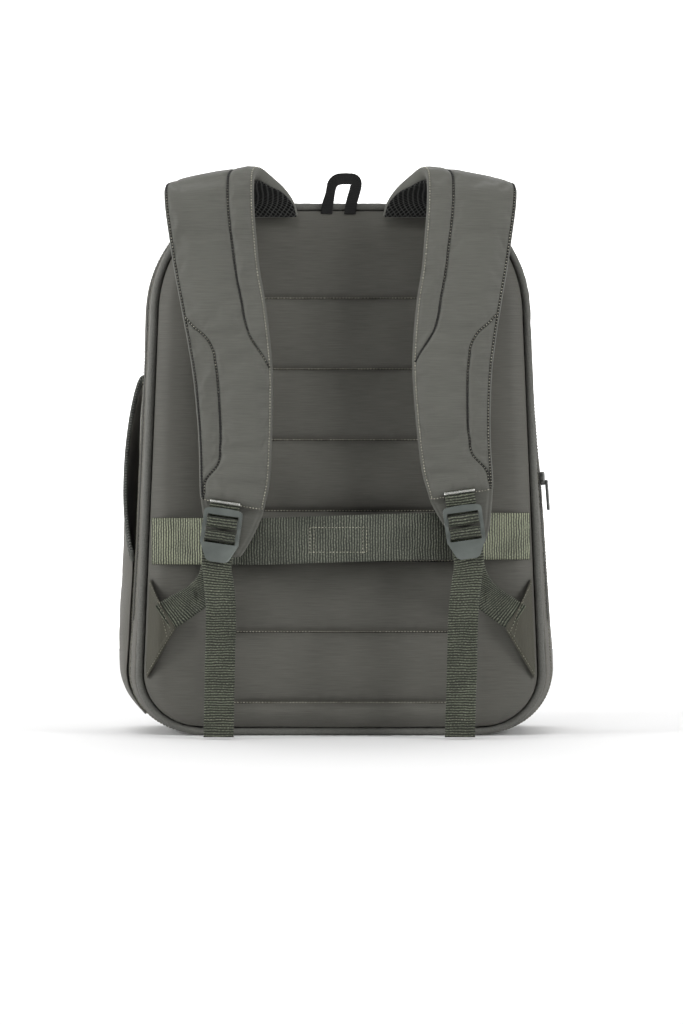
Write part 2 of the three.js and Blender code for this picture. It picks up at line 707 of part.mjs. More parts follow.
// The thin flap past the stitched end, behind the buckle.
const flapStops = [
  { drop: 1.012, reach: 0.83, centre: 0.877, width: 0.7, thick: 0.34, twist: -0.7 },
  { drop: 1.06, reach: 0.83, centre: 0.892, width: 0.62, thick: 0.32, twist: -0.5 },
  { drop: 1.13, reach: 0.83, centre: 0.918, width: 0.47, thick: 0.32, twist: -0.2 },
  { drop: 1.185, reach: 0.83, centre: 0.935, width: 0.3, thick: 0.32, twist: 0 },
];
const strapStops = [...crestStops, ...hangStops];
const allStops = [...strapStops, ...flapStops].map((stop) => ({ rise: 0, drop: 0, ...edgePlace, ...stop }));

// A channel is sunk where it runs between the strap's edges, and fades out where it meets one.
const sinks = (stop, channel) => stop.thick > 0.8 && Math.abs(stop[channel] - edgePlace[channel]) > 0.01;

// Stops of one side's strap in millimetres. Both sides are worked out on the right.
function strapPath(side) {
  return allStops.map((stop) => ({
    x: stop.centre * strapSpread + side.sway * stop.drop ** 2,
    y: -stop.reach * strapReach,
    z: seamTop + stop.rise * strapRise - stop.drop * (strapDrop + side.longer),
    width: stop.width * strapWidth,
    thick: stop.thick * strapThickness,
    twist: stop.twist * strapThickness,
    seam: stop.seam,
    seamSink: sinks(stop, 'seam') ? strapSeamDepth : 0,
    lobe: stop.lobe,
    lobeSink: sinks(stop, 'lobe') ? strapSeamDepth : 0,
  }));
}

// Direction from the strap's middle to its outer face.
function strapNormal(path, i) {
  const before = path[Math.max(i - 1, 0)];
  const after = path[Math.min(i + 1, path.length - 1)];
  return vector(0, after.z - before.z, before.y - after.y).normalize();
}

// A point of the strap: across is a share of its width from its outer edge, out is in millimetres from
// its middle.
function strapPoint(path, i, across, out) {
  const stop = path[i];
  return vector(
    stop.x + (0.5 - across) * stop.width,
    stop.y,
    stop.z + (across - 0.5) * stop.twist,
  ).addScaledVector(strapNormal(path, i), out);
}

function shoulderStrap(path) {
  return loft(path.map((stop, i) => {
    const half = stop.thick / 2;
    const columns = [
      [0, 0.1], [0.035, 0.75], [stop.lobe - 0.02, 0.94], [stop.lobe, 0.96 - stop.lobeSink / half],
      [stop.lobe + 0.05, 0.97], [0.5, 1], [stop.seam - 0.05, 0.97], [stop.seam, 0.95 - stop.seamSink / half],
      [stop.seam + 0.03, 0.93], [0.975, 0.7], [1, 0.1],
    ];
    return [
      ...columns.map(([across, out]) => strapPoint(path, i, across, out * half)),
      strapPoint(path, i, 0.985, -half), strapPoint(path, i, 0.5, -half), strapPoint(path, i, 0.015, -half),
    ];
  }));
}

function strapLining(path) {
  return loft(strapStops.map((_, i) => {
    const near = -path[i].thick / 2 - gap;
    const far = near - liningThickness;
    const columns = [1 - liningMargin, 0.5, liningMargin];
    return [...columns.map((across) => strapPoint(path, i, across, near)),
      ...columns.reverse().map((across) => strapPoint(path, i, across, far))];
  }));
}

// Buckle: its own frame has u across, v up along it and w out from its back face.

const layer = webbingThickness + gap;
const flapFace = -flapStops[0].reach * strapReach - flapStops[0].thick * strapThickness / 2;
const behindBuckle = 3 * layer + 1.7; // room for the layers between the flap and the buckle
const buckleBack = flapFace - behindBuckle;
const buckleAcross = vector(Math.cos(buckleLean * degrees), 0, Math.sin(buckleLean * degrees));
const buckleUp = vector(-Math.sin(buckleLean * degrees), 0, Math.cos(buckleLean * degrees));
const strapEnd = hangStops.at(-1);

function buckleOrigin(side) {
  const endHeight = seamTop - strapEnd.drop * (strapDrop + side.longer);
  return vector(side.buckleSpread, buckleBack, endHeight - side.tabLength);
}

const onBuckle = (side, u, v, w) => buckleOrigin(side).addScaledVector(buckleAcross, u)
  .addScaledVector(buckleUp, v).add(vector(0, -w, 0));

// Slots and bars from the lift tab up. A slot takes one or two layers of webbing.
const oneLayer = webbingThickness + slotRoom;
const twoLayers = 2 * webbingThickness + slotRoom;
const barHeight = (buckleLength - liftTab - topBar - 2 * oneLayer - twoLayers) / 2;
const slotThreeLow = -buckleLength / 2 + liftTab;
const slotThreeHigh = slotThreeLow + oneLayer;
const slotTwoLow = slotThreeHigh + barHeight;
const slotTwoHigh = slotTwoLow + twoLayers;
const slotOneLow = slotTwoHigh + barHeight;
const slotOneHigh = slotOneLow + oneLayer;
const slotHalf = webbingWidth / 2 + slotClearance;
const buckleHalf = slotHalf + buckleRail;

function buckle(side) {
  const shape = new THREE.Shape();
  const low = -buckleLength / 2;
  const high = buckleLength / 2;
  shape.moveTo(-buckleHalf, slotThreeLow);
  shape.lineTo(-buckleHalf * 0.62, low + buckleShoulder * 0.6);
  shape.quadraticCurveTo(-buckleHalf * 0.5, low, -buckleHalf * 0.3, low);
  shape.lineTo(buckleHalf * 0.3, low);
  shape.quadraticCurveTo(buckleHalf * 0.5, low, buckleHalf * 0.62, low + buckleShoulder * 0.6);
  shape.lineTo(buckleHalf, slotThreeLow);
  shape.lineTo(buckleHalf, high - buckleShoulder);
  shape.quadraticCurveTo(buckleHalf, high - 1, buckleHalf - buckleShoulder, high - 0.6);
  shape.quadraticCurveTo(0, high + 0.6, -buckleHalf + buckleShoulder, high - 0.6);
  shape.quadraticCurveTo(-buckleHalf, high - 1, -buckleHalf, high - buckleShoulder);
  shape.closePath();
  const options = { depth: buckleThickness, bevelEnabled: false, curveSegments: 5 };
  const plate = solidOf(new THREE.ExtrudeGeometry(shape, options));
  const slots = [[slotThreeLow, slotThreeHigh], [slotTwoLow, slotTwoHigh], [slotOneLow, slotOneHigh]];
  const ladder = slots.reduce((solid, [from, to]) => solid.subtract(solidOf(
    new THREE.BoxGeometry(2 * slotHalf, to - from, 2 * buckleThickness)
      .translate(0, (from + to) / 2, buckleThickness / 2))), plate);
  return geometryFrom(ladder).applyMatrix4(
    new THREE.Matrix4().makeBasis(buckleAcross, buckleUp, vector(0, -1, 0)).setPosition(buckleOrigin(side)));
}

const over = buckleThickness + layer; // middle of webbing that lies on a bar
const under = -layer; // middle of webbing behind the plate

// Webbing that hangs the buckle from the strap: down behind the top bar, forward through the first slot,
// over the upper bar and back up behind.
function buckleTab(side) {
  const forward = (slotOneLow + slotOneHigh) / 2;
  const back = slotTwoHigh - webbingThickness / 2 - 0.4;
  const top = side.tabLength;
  const endFace = -strapEnd.reach * strapReach - strapEnd.thick * strapThickness / 2;
  const strapFace = buckleBack - endFace + gap + webbingThickness / 2;
  const stops = [
    [top + 0.5, strapFace + 0.3], [top - 2, strapFace + 0.2], [(slotOneHigh + top) / 2, under],
    [slotOneHigh + 0.6, under], [forward + 0.4, 0.1], [forward, buckleThickness / 2],
    [forward - 0.4, over - 0.7], [forward - 1.9, over], [back + 1.6, over], [back + 0.3, over - 0.7],
    [back, buckleThickness / 2],
    [back + 0.2, -0.5], [back + 1.4, under - layer + 0.2], [back + 3.5, under - layer],
    [slotOneHigh, under - layer - 0.1], [top - 5.5, under - layer - 0.1],
  ];
  return ribbon(stops.map(([v, w]) => ({ at: onBuckle(side, 0, v, w), across: buckleAcross })),
    webbingWidth, webbingThickness);
}

// Wings

const wingTipMiddle = {
  x: halfWidthAt(panelShape, wingTipHeight) - wingReach,
  z: wingTipHeight,
};
const wingEdge = vector(Math.cos(wingTipAngle * degrees), 0, Math.sin(wingTipAngle * degrees));
const wingTipY = -(padHeight(wingTipMiddle.x, wingTipMiddle.z) + wingLift);

function wing() {
  const rows = 4;
  const columns = 3;
  const place = (up, in_) => {
    const rootZ = mix(wingBottom, wingTop, up);
    const root = vector(halfWidthAt(panelShape, rootZ) - wingRootInset, 0, rootZ);
    const tip = vector(wingTipMiddle.x, 0, wingTipMiddle.z)
      .addScaledVector(wingEdge, (up - 0.5) * webbingWidth);
    const at = root.lerp(tip, in_);
    const lowest = -(padHeight(at.x, at.z) + gap + 0.5);
    at.y = Math.min(lowest, mix(lowest, wingTipY + wingThickness / 2, in_));
    return at;
  };
  const grid = (out) => Array.from({ length: columns + 1 }, (_, i) =>
    Array.from({ length: rows + 1 }, (_, j) => place(j / rows, i / columns).sub(vector(0, out, 0))));
  return wallBetween(grid(wingThickness), grid(0));
}

// Sideways and outward drift of a hanging tail, as shares of its fall and in millimetres.
const tailRows = [
  { down: 0.08, out: 0.6 }, { down: 0.22, out: 1.6 }, { down: 0.4, out: -0.4 }, { down: 0.58, out: 1.2 },
  { down: 0.78, out: -1.6 }, { down: 1, out: -3.6 },
];

// Adjustable webbing: from the wing's tip up behind the buckle, forward through the second slot, over the
// lower bar, back through the third and down behind the lift tab to its free end.
function adjusterWebbing(side) {
  const start = vector(wingTipMiddle.x, wingTipY, wingTipMiddle.z);
  const leaving = vector(-wingEdge.z, 0, wingEdge.x);
  const first = start.clone().addScaledVector(leaving, gap + 0.3);
  const rearLayer = under - 2.4 * layer;
  const curve = new THREE.CubicBezierCurve3(
    first,
    first.clone().addScaledVector(leaving, buckleLength * 0.62),
    onBuckle(side, 0, -buckleLength * 1.05, rearLayer + 2),
    onBuckle(side, 0, -buckleLength * 0.56, rearLayer),
  );
  const steps = 6;
  const rising = Array.from({ length: steps + 1 }, (_, i) => ({
    at: curve.getPoint(i / steps),
    across: wingEdge.clone().lerp(buckleAcross, (i / steps) ** 0.8),
  }));
  const forward = slotTwoLow + webbingThickness / 2 + 0.45;
  const back = (slotThreeLow + slotThreeHigh) / 2;
  const threaded = [
    [-buckleLength * 0.3, under - 2 * layer], [slotThreeHigh, under - 1.3 * layer],
    [forward - 1.7, under - 0.5], [forward - 0.2, -0.1], [forward, buckleThickness / 2],
    [forward - 0.5, over - 0.5], [forward - 1.8, over],
    [back + 1.9, over], [back + 0.5, over - 0.5], [back, buckleThickness / 2], [back - 0.3, 0],
    [back - 1.8, under], [slotThreeLow - 4, under], [-buckleLength / 2 - 1.5, under],
  ].map(([v, w]) => ({ at: onBuckle(side, 0, v, w), across: buckleAcross }));
  const hang = threaded.at(-1).at;
  const tail = tailRows.map(({ down, out }) => ({
    at: vector(
      mix(hang.x, mix(side.tailTop, side.tailFoot, down), clamp(down * 4, 0, 1)),
      hang.y - out,
      mix(hang.z, tailEnd, down),
    ),
    across: buckleAcross.clone().lerp(vector(1, 0, 0), clamp(down * 4, 0, 1)),
  }));
  return ribbon([...rising, ...threaded, ...tail], webbingWidth, webbingThickness);
}

// Luggage strap, sewn into both side seams and standing off the pads so that a trolley handle's tubes
// pass behind it.
function luggageStrap() {
  const seam = halfWidthAt(panelShape, luggageHeight) - 2.5;
  const proud = padCrown + luggageReach + luggageThickness / 2;
  const half = luggageWidth / 2;
  const padUnder = (x) => Math.max(...[-half, -half / 2, 0, half / 2, half].map((dz) =>
    padHeight(x, luggageHeight + dz)));
  const restOn = (x) => padUnder(x) + gap + 0.4 + luggageThickness / 2;
  const rows = [
    { from: 1, out: 0 }, { from: 0.955, out: 0 }, { from: 0.87, out: 0.13 }, { from: 0.76, out: 0.42 },
    { from: 0.62, out: 0.74 }, { from: 0.5, out: 0.94 }, { from: 0.42, out: 1 }, { from: 0.2, out: 0.985 },
  ];
  const right = rows.map(({ from, out }) =>
    ({ x: from * seam, reach: mix(restOn(from * seam), proud, out), from }));
  const left = right.map(({ x, reach, from }) => ({ x: -x, reach, from: -from }));
  return ribbon([...left, ...right.slice().reverse()].map(({ x, reach, from }) => ({
    at: vector(x, -reach, luggageHeight + luggageTilt * clamp(from / 0.42, -1, 1)),
    across: vector(0, 0, 1),
  })), luggageWidth, luggageThickness);
}

// Hang loop of narrow webbing in the top seam.
function hangLoop() {
  const outer = loopWebbing + loopGap / 2;
  const inner = loopGap / 2;
  const foot = -loopFoot;
  const back = padHeight(loopShift, seamTop - loopFoot) + gap;
  const shape = new THREE.Shape();
  shape.moveTo(-outer, foot);
  shape.lineTo(-outer, loopHeight - loopWebbing);
  shape.lineTo(-inner, loopHeight);
  shape.lineTo(inner, loopHeight);
  shape.lineTo(outer, loopHeight - loopWebbing);
  shape.lineTo(outer, foot);
  shape.lineTo(inner, foot);
  shape.lineTo(inner, loopHeight - loopWebbing);
  shape.lineTo(-inner, loopHeight - loopWebbing);
  shape.lineTo(-inner, foot);
  shape.closePath();
  const flat = new THREE.ExtrudeGeometry(shape, { depth: loopThickness, bevelEnabled: false });
  const lean = Math.tan(loopLean * degrees);
  const position = flat.attributes.position;
  for (let i = 0; i < position.count; i++) {
    const [x, up, out] = [position.getX(i), position.getY(i), position.getZ(i)];
    position.setXYZ(i, loopShift + x + lean * Math.max(up, 0), -back - out, seamTop + up);
  }
  return flat;
}

// Zip sliders and pulls, in a frame with along (down the zip), across and out

const sliderLength = 11;
const sliderWidth = 8.4;
const sliderHeight = 3.6;
const pullLength = 25;
const pullWidth = 7;
const pullThickness = 2;
const sliderClearance = 0.55; // between it and the coil
const rearSliderHeight = 208;
const mainSliderShare = 0.9; // of each half of the loop, so beside the middle of the top

function placed(geometry, at, along, out) {
  const across = vector(0, 0, 0).crossVectors(along, out).normalize();
  return geometry.applyMatrix4(new THREE.Matrix4().makeBasis(across, along.clone().normalize(),
    out.clone().normalize()).setPosition(at));
}

function roundedPlate(width, length, thickness, corner) {
  const shape = new THREE.Shape();
  const [w, l] = [width / 2, length / 2];
  shape.moveTo(-w + corner, -l);
  for (const [x, y, dx, dy] of [[w, -l, 0, 1], [w, l, -1, 0], [-w, l, 0, -1], [-w, -l, 1, 0]]) {
    const before = [x - dy * corner, y + dx * corner];
    shape.lineTo(...before);
    shape.quadraticCurveTo(x, y, x + dx * corner, y + dy * corner);
  }
  shape.closePath();
  return new THREE.ExtrudeGeometry(shape, { depth: thickness, bevelEnabled: false, curveSegments: 2 });
}

const slider = () => roundedPlate(sliderWidth, sliderLength, sliderHeight, 2.4);
const pull = () => roundedPlate(pullWidth, pullLength, pullThickness, 2.2)
  .translate(0, pullLength / 2 + sliderLength * 0.12, 0);

// A slider rides on the coil, and its pull lies along the zip from the slider's middle.
function zipFurniture(at, along, out, pullAlong = along) {
  const sliderAt = at.clone().addScaledVector(out, sliderClearance);
  const pullAt = sliderAt.clone().addScaledVector(out, sliderHeight + gap);
  return { slider: placed(slider(), sliderAt, along, out), pull: placed(pull(), pullAt, pullAlong, out) };
}

function onGussetZip(share, middleOf) {
  const here = gussetPoint(share, middleOf, zipRecess - coilHeight);
  const step = 0.004 * Math.sign(share);
  const place = (at, offset) => gussetPoint(at, (z) => middleOf(z) + offset, 0);
  const along = place(share - step, 0).sub(place(share + step, 0)).normalize();
  const side = place(share, 1).sub(place(share, -1));
  const out = vector(0, 0, 0).crossVectors(side, along).normalize();
  const middle = vector(0, here.y, bodyHeight / 2);
  if (out.dot(here.clone().sub(middle)) < 0) out.negate();
  return zipFurniture(here, along, out);
}

// The pocket's slider stands closed at the zip's right end, and its pull lies back along the zip.
function onPocketZip() {
  const place = (x) => {
    const z = pocketZipHeight(x);
    return vector(x, pocketFace(x, z) + zipThickness + coilHeight, z);
  };
  const end = pocketZipReach - sliderLength;
  const at = place(end);
  const along = place(end - pullLength).sub(at).normalize();
  const out = vector(0, 1, 0).addScaledVector(along, -along.y).normalize();
  return zipFurniture(at, along, out);
}

// Colours and finishes

const finish = (color, roughness, metalness = 0) =>
  new THREE.MeshStandardMaterial({ color, roughness, metalness });
const materials = {
  shell: finish(0x5c5b55, 0.75),
  panel: finish(0x53534f, 0.78),
  strap: finish(0x62625c, 0.75),
  piping: finish(0x6a6a66, 0.6),
  webbing: finish(0x484b43, 0.8),
  mesh: finish(0x202122, 0.9),
  elastic: finish(0x33352f, 0.9),
  zip: finish(0x33342f, 0.7),
  plastic: finish(0x6a6f6d, 0.5),
  metal: finish(0x505250, 0.35, 0.8),
  black: finish(0x171815, 0.85),
};

const group = new THREE.Group();

function add(name, geometry, material) {
  const mesh = new THREE.Mesh(geometry, materials[material]);
  mesh.name = name;
  group.add(mesh);
}

add('back_panel', backPanel(), 'panel');
add('rear_piping', rearPiping(), 'piping');
add('rear_gusset', rearGusset(), 'shell');
add('rear_zip', gussetZip(() => rearZipDepth, rearZipEnd), 'zip');
add('body_gusset', bodyGusset(), 'shell');
add('main_zip', gussetZip(mainZipDepth, mainZipEnd), 'zip');
add('front_panel', frontPanel(), 'shell');
add('front_pocket', frontPocket(), 'shell');
add('front_pocket_zip', pocketZip(), 'zip');
add('bottle_pocket', bottlePocket(), 'shell');
add('bottle_pocket_elastic', bottleElastic(), 'elastic');
for (const [name, side] of Object.entries(sides)) {
  const path = strapPath(side);
  const place = name === 'left' ? mirrored : (geometry) => geometry;
  add(`shoulder_strap_${name}`, place(shoulderStrap(path)), 'strap');
  add(`strap_lining_${name}`, place(strapLining(path)), 'mesh');
  add(`buckle_tab_${name}`, place(buckleTab(side)), 'webbing');
  add(`buckle_${name}`, place(buckle(side)), 'plastic');
  add(`wing_${name}`, place(wing()), 'shell');
  add(`adjuster_webbing_${name}`, place(adjusterWebbing(side)), 'webbing');
}
add('luggage_strap', luggageStrap(), 'webbing');
add('hang_loop', hangLoop(), 'black');

for (const [name, furniture] of [
  ['rear_zip', onGussetZip(shareAtHeight(rearSliderHeight), () => rearZipDepth)],
  ['main_zip_right', onGussetZip(mainSliderShare, mainZipDepth)],
  ['main_zip_left', onGussetZip(-mainSliderShare, mainZipDepth)],
  ['front_pocket_zip', onPocketZip()],
]) {
  add(`${name}_slider`, furniture.slider, 'metal');
  add(`${name}_pull`, furniture.pull, 'plastic');
}

// The origin goes to the middle of the base of the whole.
const bounds = new THREE.Box3().setFromObject(group);
group.position.set(-(bounds.min.x + bounds.max.x) / 2, -(bounds.min.y + bounds.max.y) / 2, -bounds.min.z);

export default group;
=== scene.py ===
"""Looks of a laptop backpack: padding, cloth, webbing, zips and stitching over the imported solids.

Shapes are worked out in millimetres round the middle of the rear seam at base height, as the solids are,
and placed in metres in the row's frame.
"""
import math

import bmesh
import bpy
import numpy as np
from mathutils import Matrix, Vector
from mathutils.bvhtree import BVHTree
from mathutils.noise import noise


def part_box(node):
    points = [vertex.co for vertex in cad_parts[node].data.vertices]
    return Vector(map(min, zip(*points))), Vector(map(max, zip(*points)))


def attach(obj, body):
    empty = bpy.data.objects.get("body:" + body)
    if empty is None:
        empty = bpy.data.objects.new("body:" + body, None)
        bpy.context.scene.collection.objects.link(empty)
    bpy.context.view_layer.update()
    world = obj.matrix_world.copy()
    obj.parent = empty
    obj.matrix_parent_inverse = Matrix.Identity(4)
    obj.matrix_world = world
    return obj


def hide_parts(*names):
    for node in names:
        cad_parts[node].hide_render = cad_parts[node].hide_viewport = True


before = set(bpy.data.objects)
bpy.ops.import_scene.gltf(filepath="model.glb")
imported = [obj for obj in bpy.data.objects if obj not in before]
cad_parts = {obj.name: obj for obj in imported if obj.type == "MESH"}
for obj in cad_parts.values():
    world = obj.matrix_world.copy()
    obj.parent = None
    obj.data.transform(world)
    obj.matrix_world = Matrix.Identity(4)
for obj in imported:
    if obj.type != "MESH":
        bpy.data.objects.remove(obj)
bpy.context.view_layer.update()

# Sizes of the solids, in millimetres
body_height = 430
seam_lift = 6.5
crest_rise = 5
base_half_width = 160
top_half_width = 148
base_corner = (49, 44)
top_corner = (66, 85)
side_swell = 15
top_swell = 9
side_lean = 5
lean_start = 150
swell_depth = 44
base_depth = 132
top_depth = 92
front_crown = 13
front_rim = 20
gap = 0.3
panel_edge = 4
edge_height = 1.2
seam_height = 3.2
pad_crown = 9.5
side_crown = 8.5
edge_roll = 13
pad_fullness = 3.2
quilt_half_width = 107
quilt_pitch = 57.3
top_pad = 71
base_pad = 20.5
piping_width = 6
piping_depth = 5.4
zip_width = 8
rear_zip_depth = 16
rear_zip_end = 95
main_zip_end = 68
zip_ramp = 6
pocket_half_width = 121
pocket_top_half_width = 108
pocket_bottom = 20
pocket_top = 262
pocket_corner = 34
pocket_standoff = 30
pocket_seat = 0.8
bottle_rear = 22
bottle_front_margin = 34
bottle_bottom = 16
bottle_rear_top = 140
bottle_front_top = 286
bottle_bulge = 9
strap_rise = 21.5
strap_drop = 230
strap_reach = 51
strap_width = 72
strap_thickness = 12.5
strap_spread = 104
webbing_width = 24
webbing_thickness = 1.3
luggage_width = 37.5
luggage_thickness = 1.5
luggage_height = 159.5
luggage_reach = 24
buckle_length = 43
buckle_thickness = 3.4
buckle_lean = math.radians(8)
lift_tab = 14.8
wing_bottom = 45
wing_top = 128
wing_tip_height = 98
wing_reach = 19
wing_thickness = 3
wing_lift = 8
wing_tip_angle = math.radians(56)

# Thicknesses of the visual model's cloth
gusset_cloth = 1.8
pocket_cloth_wall = 1.4
bottle_cloth_wall = 1.3
tape_wall = 0.7

# Places that the sheets' faces turn away from
bag_middle = (0, 60, 215)
bottle_side_middle = (0, 60, 150)

seam_bottom = seam_lift
seam_top = body_height - crest_rise
quilt_seams = [seam_bottom + base_pad + i * quilt_pitch for i in range(3)]
quilt_seams += [seam_top - top_pad - i * quilt_pitch for i in range(3, -1, -1)]
side_ways = {
    "right": dict(sway=5, longer=-2, tab=33, spread=98.9, tail_top=98.6, tail_foot=95, sign=1),
    "left": dict(sway=-5, longer=6.6, tab=27, spread=95.3, tail_top=94, tail_foot=97, sign=-1),
}

# The solids' place in the row's frame: the back panel lies evenly round x = 0, its rear at a known depth.
panel_low, panel_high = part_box("back_panel")
shift = np.array([(panel_low.x + panel_high.x) * 500, panel_high.y * 1000 - (panel_edge - edge_height), 0.0])


def mix(a, b, share):
    return a + (b - a) * share


def clamp(value, low=0.0, high=1.0):
    return min(max(value, low), high)


def ease(value, low, high):
    t = clamp((value - low) / (high - low))
    return t * t * (3 - 2 * t)


def in_row(points):
    return (np.asarray(points, float) + shift) / 1000


# The bag's outline


def outline(swell, inset=0.0):
    grow = side_swell * swell
    return dict(
        half_base=base_half_width + grow - inset,
        half_top=top_half_width + top_swell * swell - inset,
        lean=side_lean * swell,
        low=seam_lift * (1 - swell) + inset,
        high=seam_top + crest_rise * swell - inset,
        base_width=base_corner[0] + grow / 2 - inset,
        base_height=base_corner[1] + grow / 2 - inset,
        top_width=top_corner[0] + grow / 2 - inset,
        top_height=top_corner[1] + grow / 2 - inset,
    )


part_ends = (0.14, 0.3, 0.7, 0.87)  # base, base corner, side and top corner, as shares of each half loop


def outline_point(shape, share):
    side = -1 if share < 0 else 1
    at = abs(share)
    base, base_end, side_end, top_end = part_ends
    side_low = shape["low"] + shape["base_height"]
    side_high = shape["high"] - shape["top_height"]
    if at <= base:
        x, z = (shape["half_base"] - shape["base_width"]) * at / base, shape["low"]
    elif at <= base_end:
        turn = (at - base) / (base_end - base) * math.pi / 2
        x = shape["half_base"] - shape["base_width"] * (1 - math.sin(turn))
        z = side_low - shape["base_height"] * math.cos(turn)
    elif at <= side_end:
        t = (at - base_end) / (side_end - base_end)
        x, z = mix(shape["half_base"], shape["half_top"], t), mix(side_low, side_high, t)
    elif at <= top_end:
        turn = (at - side_end) / (top_end - side_end) * math.pi / 2
        x = shape["half_top"] - shape["top_width"] * (1 - math.cos(turn))
        z = side_high + shape["top_height"] * math.sin(turn)
    else:
        x = (shape["half_top"] - shape["top_width"]) * (1 - (at - top_end) / (1 - top_end))
        z = shape["high"]
    return side * x - lean_at(shape, z), z


def lean_at(shape, z):
    return shape["lean"] * clamp((z - lean_start) / (body_height - lean_start))


def share_at(z):
    shape = outline(1)
    low, high = shape["low"] + shape["base_height"], shape["high"] - shape["top_height"]
    return mix(part_ends[1], part_ends[2], (z - low) / (high - low))


def half_width(shape, z):
    low, high = shape["low"] + shape["base_height"], shape["high"] - shape["top_height"]
    if z < low:
        c = clamp((low - z) / shape["base_height"])
        return shape["half_base"] - shape["base_width"] * (1 - math.sqrt(1 - c * c))
    if z <= high:
        return mix(shape["half_base"], shape["half_top"], (z - low) / (high - low))
    c = clamp((z - high) / shape["top_height"])
    return shape["half_top"] - shape["top_width"] * (1 - math.sqrt(1 - c * c))


def loop_shares(count):
    """Shares of a whole loop at about even steps along the outline."""
    fine = np.linspace(-1, 1, 4001)
    places = np.array([outline_point(outline(1), s) for s in fine])
    run = np.concatenate([[0], np.cumsum(np.linalg.norm(np.diff(places, axis=0), axis=1))])
    return np.interp(np.linspace(0, run[-1], count, endpoint=False), run, fine)


def swell_at(depth):
    left = 1 - clamp(depth / swell_depth)
    return math.sqrt(1 - left * left)


def front_seam(z):
    return mix(base_depth, top_depth, clamp(z / body_height) ** 1.7)


def main_zip_depth(z):
    return front_seam(z) - front_rim


def gusset_point(share, depth, inset=0.0):
    y = depth(outline_point(outline(1), share)[1]) if callable(depth) else depth
    x, z = outline_point(outline(swell_at(y), inset), share)
    return x, y, z


def zip_gap(z, end):
    return mix(gap / 2, zip_width / 2 + gap, clamp((z - (end - zip_ramp)) / zip_ramp))


# The quilted panel's form

panel_shape = outline(0, gap)


panel_lines = [panel_shape["low"], *quilt_seams, panel_shape["high"]]


def pillow(share):
    return 1 - abs(2 * clamp(share) - 1) ** pad_fullness


def quilt_half_at(z):
    return min(quilt_half_width, half_width(panel_shape, z) - 2 * edge_roll)


def pad_height(x, z):
    half = half_width(panel_shape, z)
    quilt = quilt_half_at(z)
    index = next((i for i, line in enumerate(panel_lines) if line > z), len(panel_lines) - 1) - 1
    index = int(clamp(index, 0, len(panel_lines) - 2))
    across = abs(x)
    if across < quilt:
        up = (z - panel_lines[index]) / (panel_lines[index + 1] - panel_lines[index])
        height = mix(seam_height, pad_crown, pillow(up) * pillow((across / quilt + 1) / 2) ** 0.6)
    else:
        height = mix(seam_height, side_crown, pillow((across - quilt) / (half - quilt)) ** 0.6)
    from_edge = min(half - across, z - panel_shape["low"], panel_shape["high"] - z)
    return mix(edge_height, height, math.sin(clamp(from_edge / edge_roll) * math.pi / 2))


# The front's form

front_shape = outline(1)
front_middle = (front_shape["low"] + front_shape["high"]) / 2


def front_surface(x, z):
    half = half_width(front_shape, clamp(z, front_shape["low"], front_shape["high"]))
    tall = (front_shape["high"] - front_shape["low"]) / 2
    wide, high = abs(x + lean_at(front_shape, z)) / half, abs(z - front_middle) / tall
    share = clamp((wide**4 + high**4) ** 0.25)
    return front_seam(z) + front_crown * (1 - share**2.6)


# Meshes


def smooth_run(rows, step):
    """Rows of numbers, a place first, taken through smoothly at even steps."""
    rows = np.asarray(rows, float)
    gaps = np.linalg.norm(np.diff(rows[:, :3], axis=0), axis=1)
    at = np.concatenate([[0], np.cumsum(gaps)])
    slope = np.diff(rows, axis=0) / gaps[:, None]
    tangents = np.empty_like(rows)
    tangents[0], tangents[-1] = slope[0], slope[-1]
    weight = (gaps[1:] / (gaps[:-1] + gaps[1:]))[:, None]
    tangents[1:-1] = slope[:-1] * weight + slope[1:] * (1 - weight)
    where = np.linspace(0, at[-1], max(2, round(at[-1] / step) + 1))
    i = np.clip(np.searchsorted(at, where, side="right") - 1, 0, len(gaps) - 1)
    h = gaps[i][:, None]
    t = ((where - at[i]) / gaps[i])[:, None]
    return (
        rows[i] * (2 * t**3 - 3 * t**2 + 1)
        + tangents[i] * h * (t**3 - 2 * t**2 + t)
        + rows[i + 1] * (3 * t**2 - 2 * t**3)
        + tangents[i + 1] * h * (t**3 - t**2)
    )


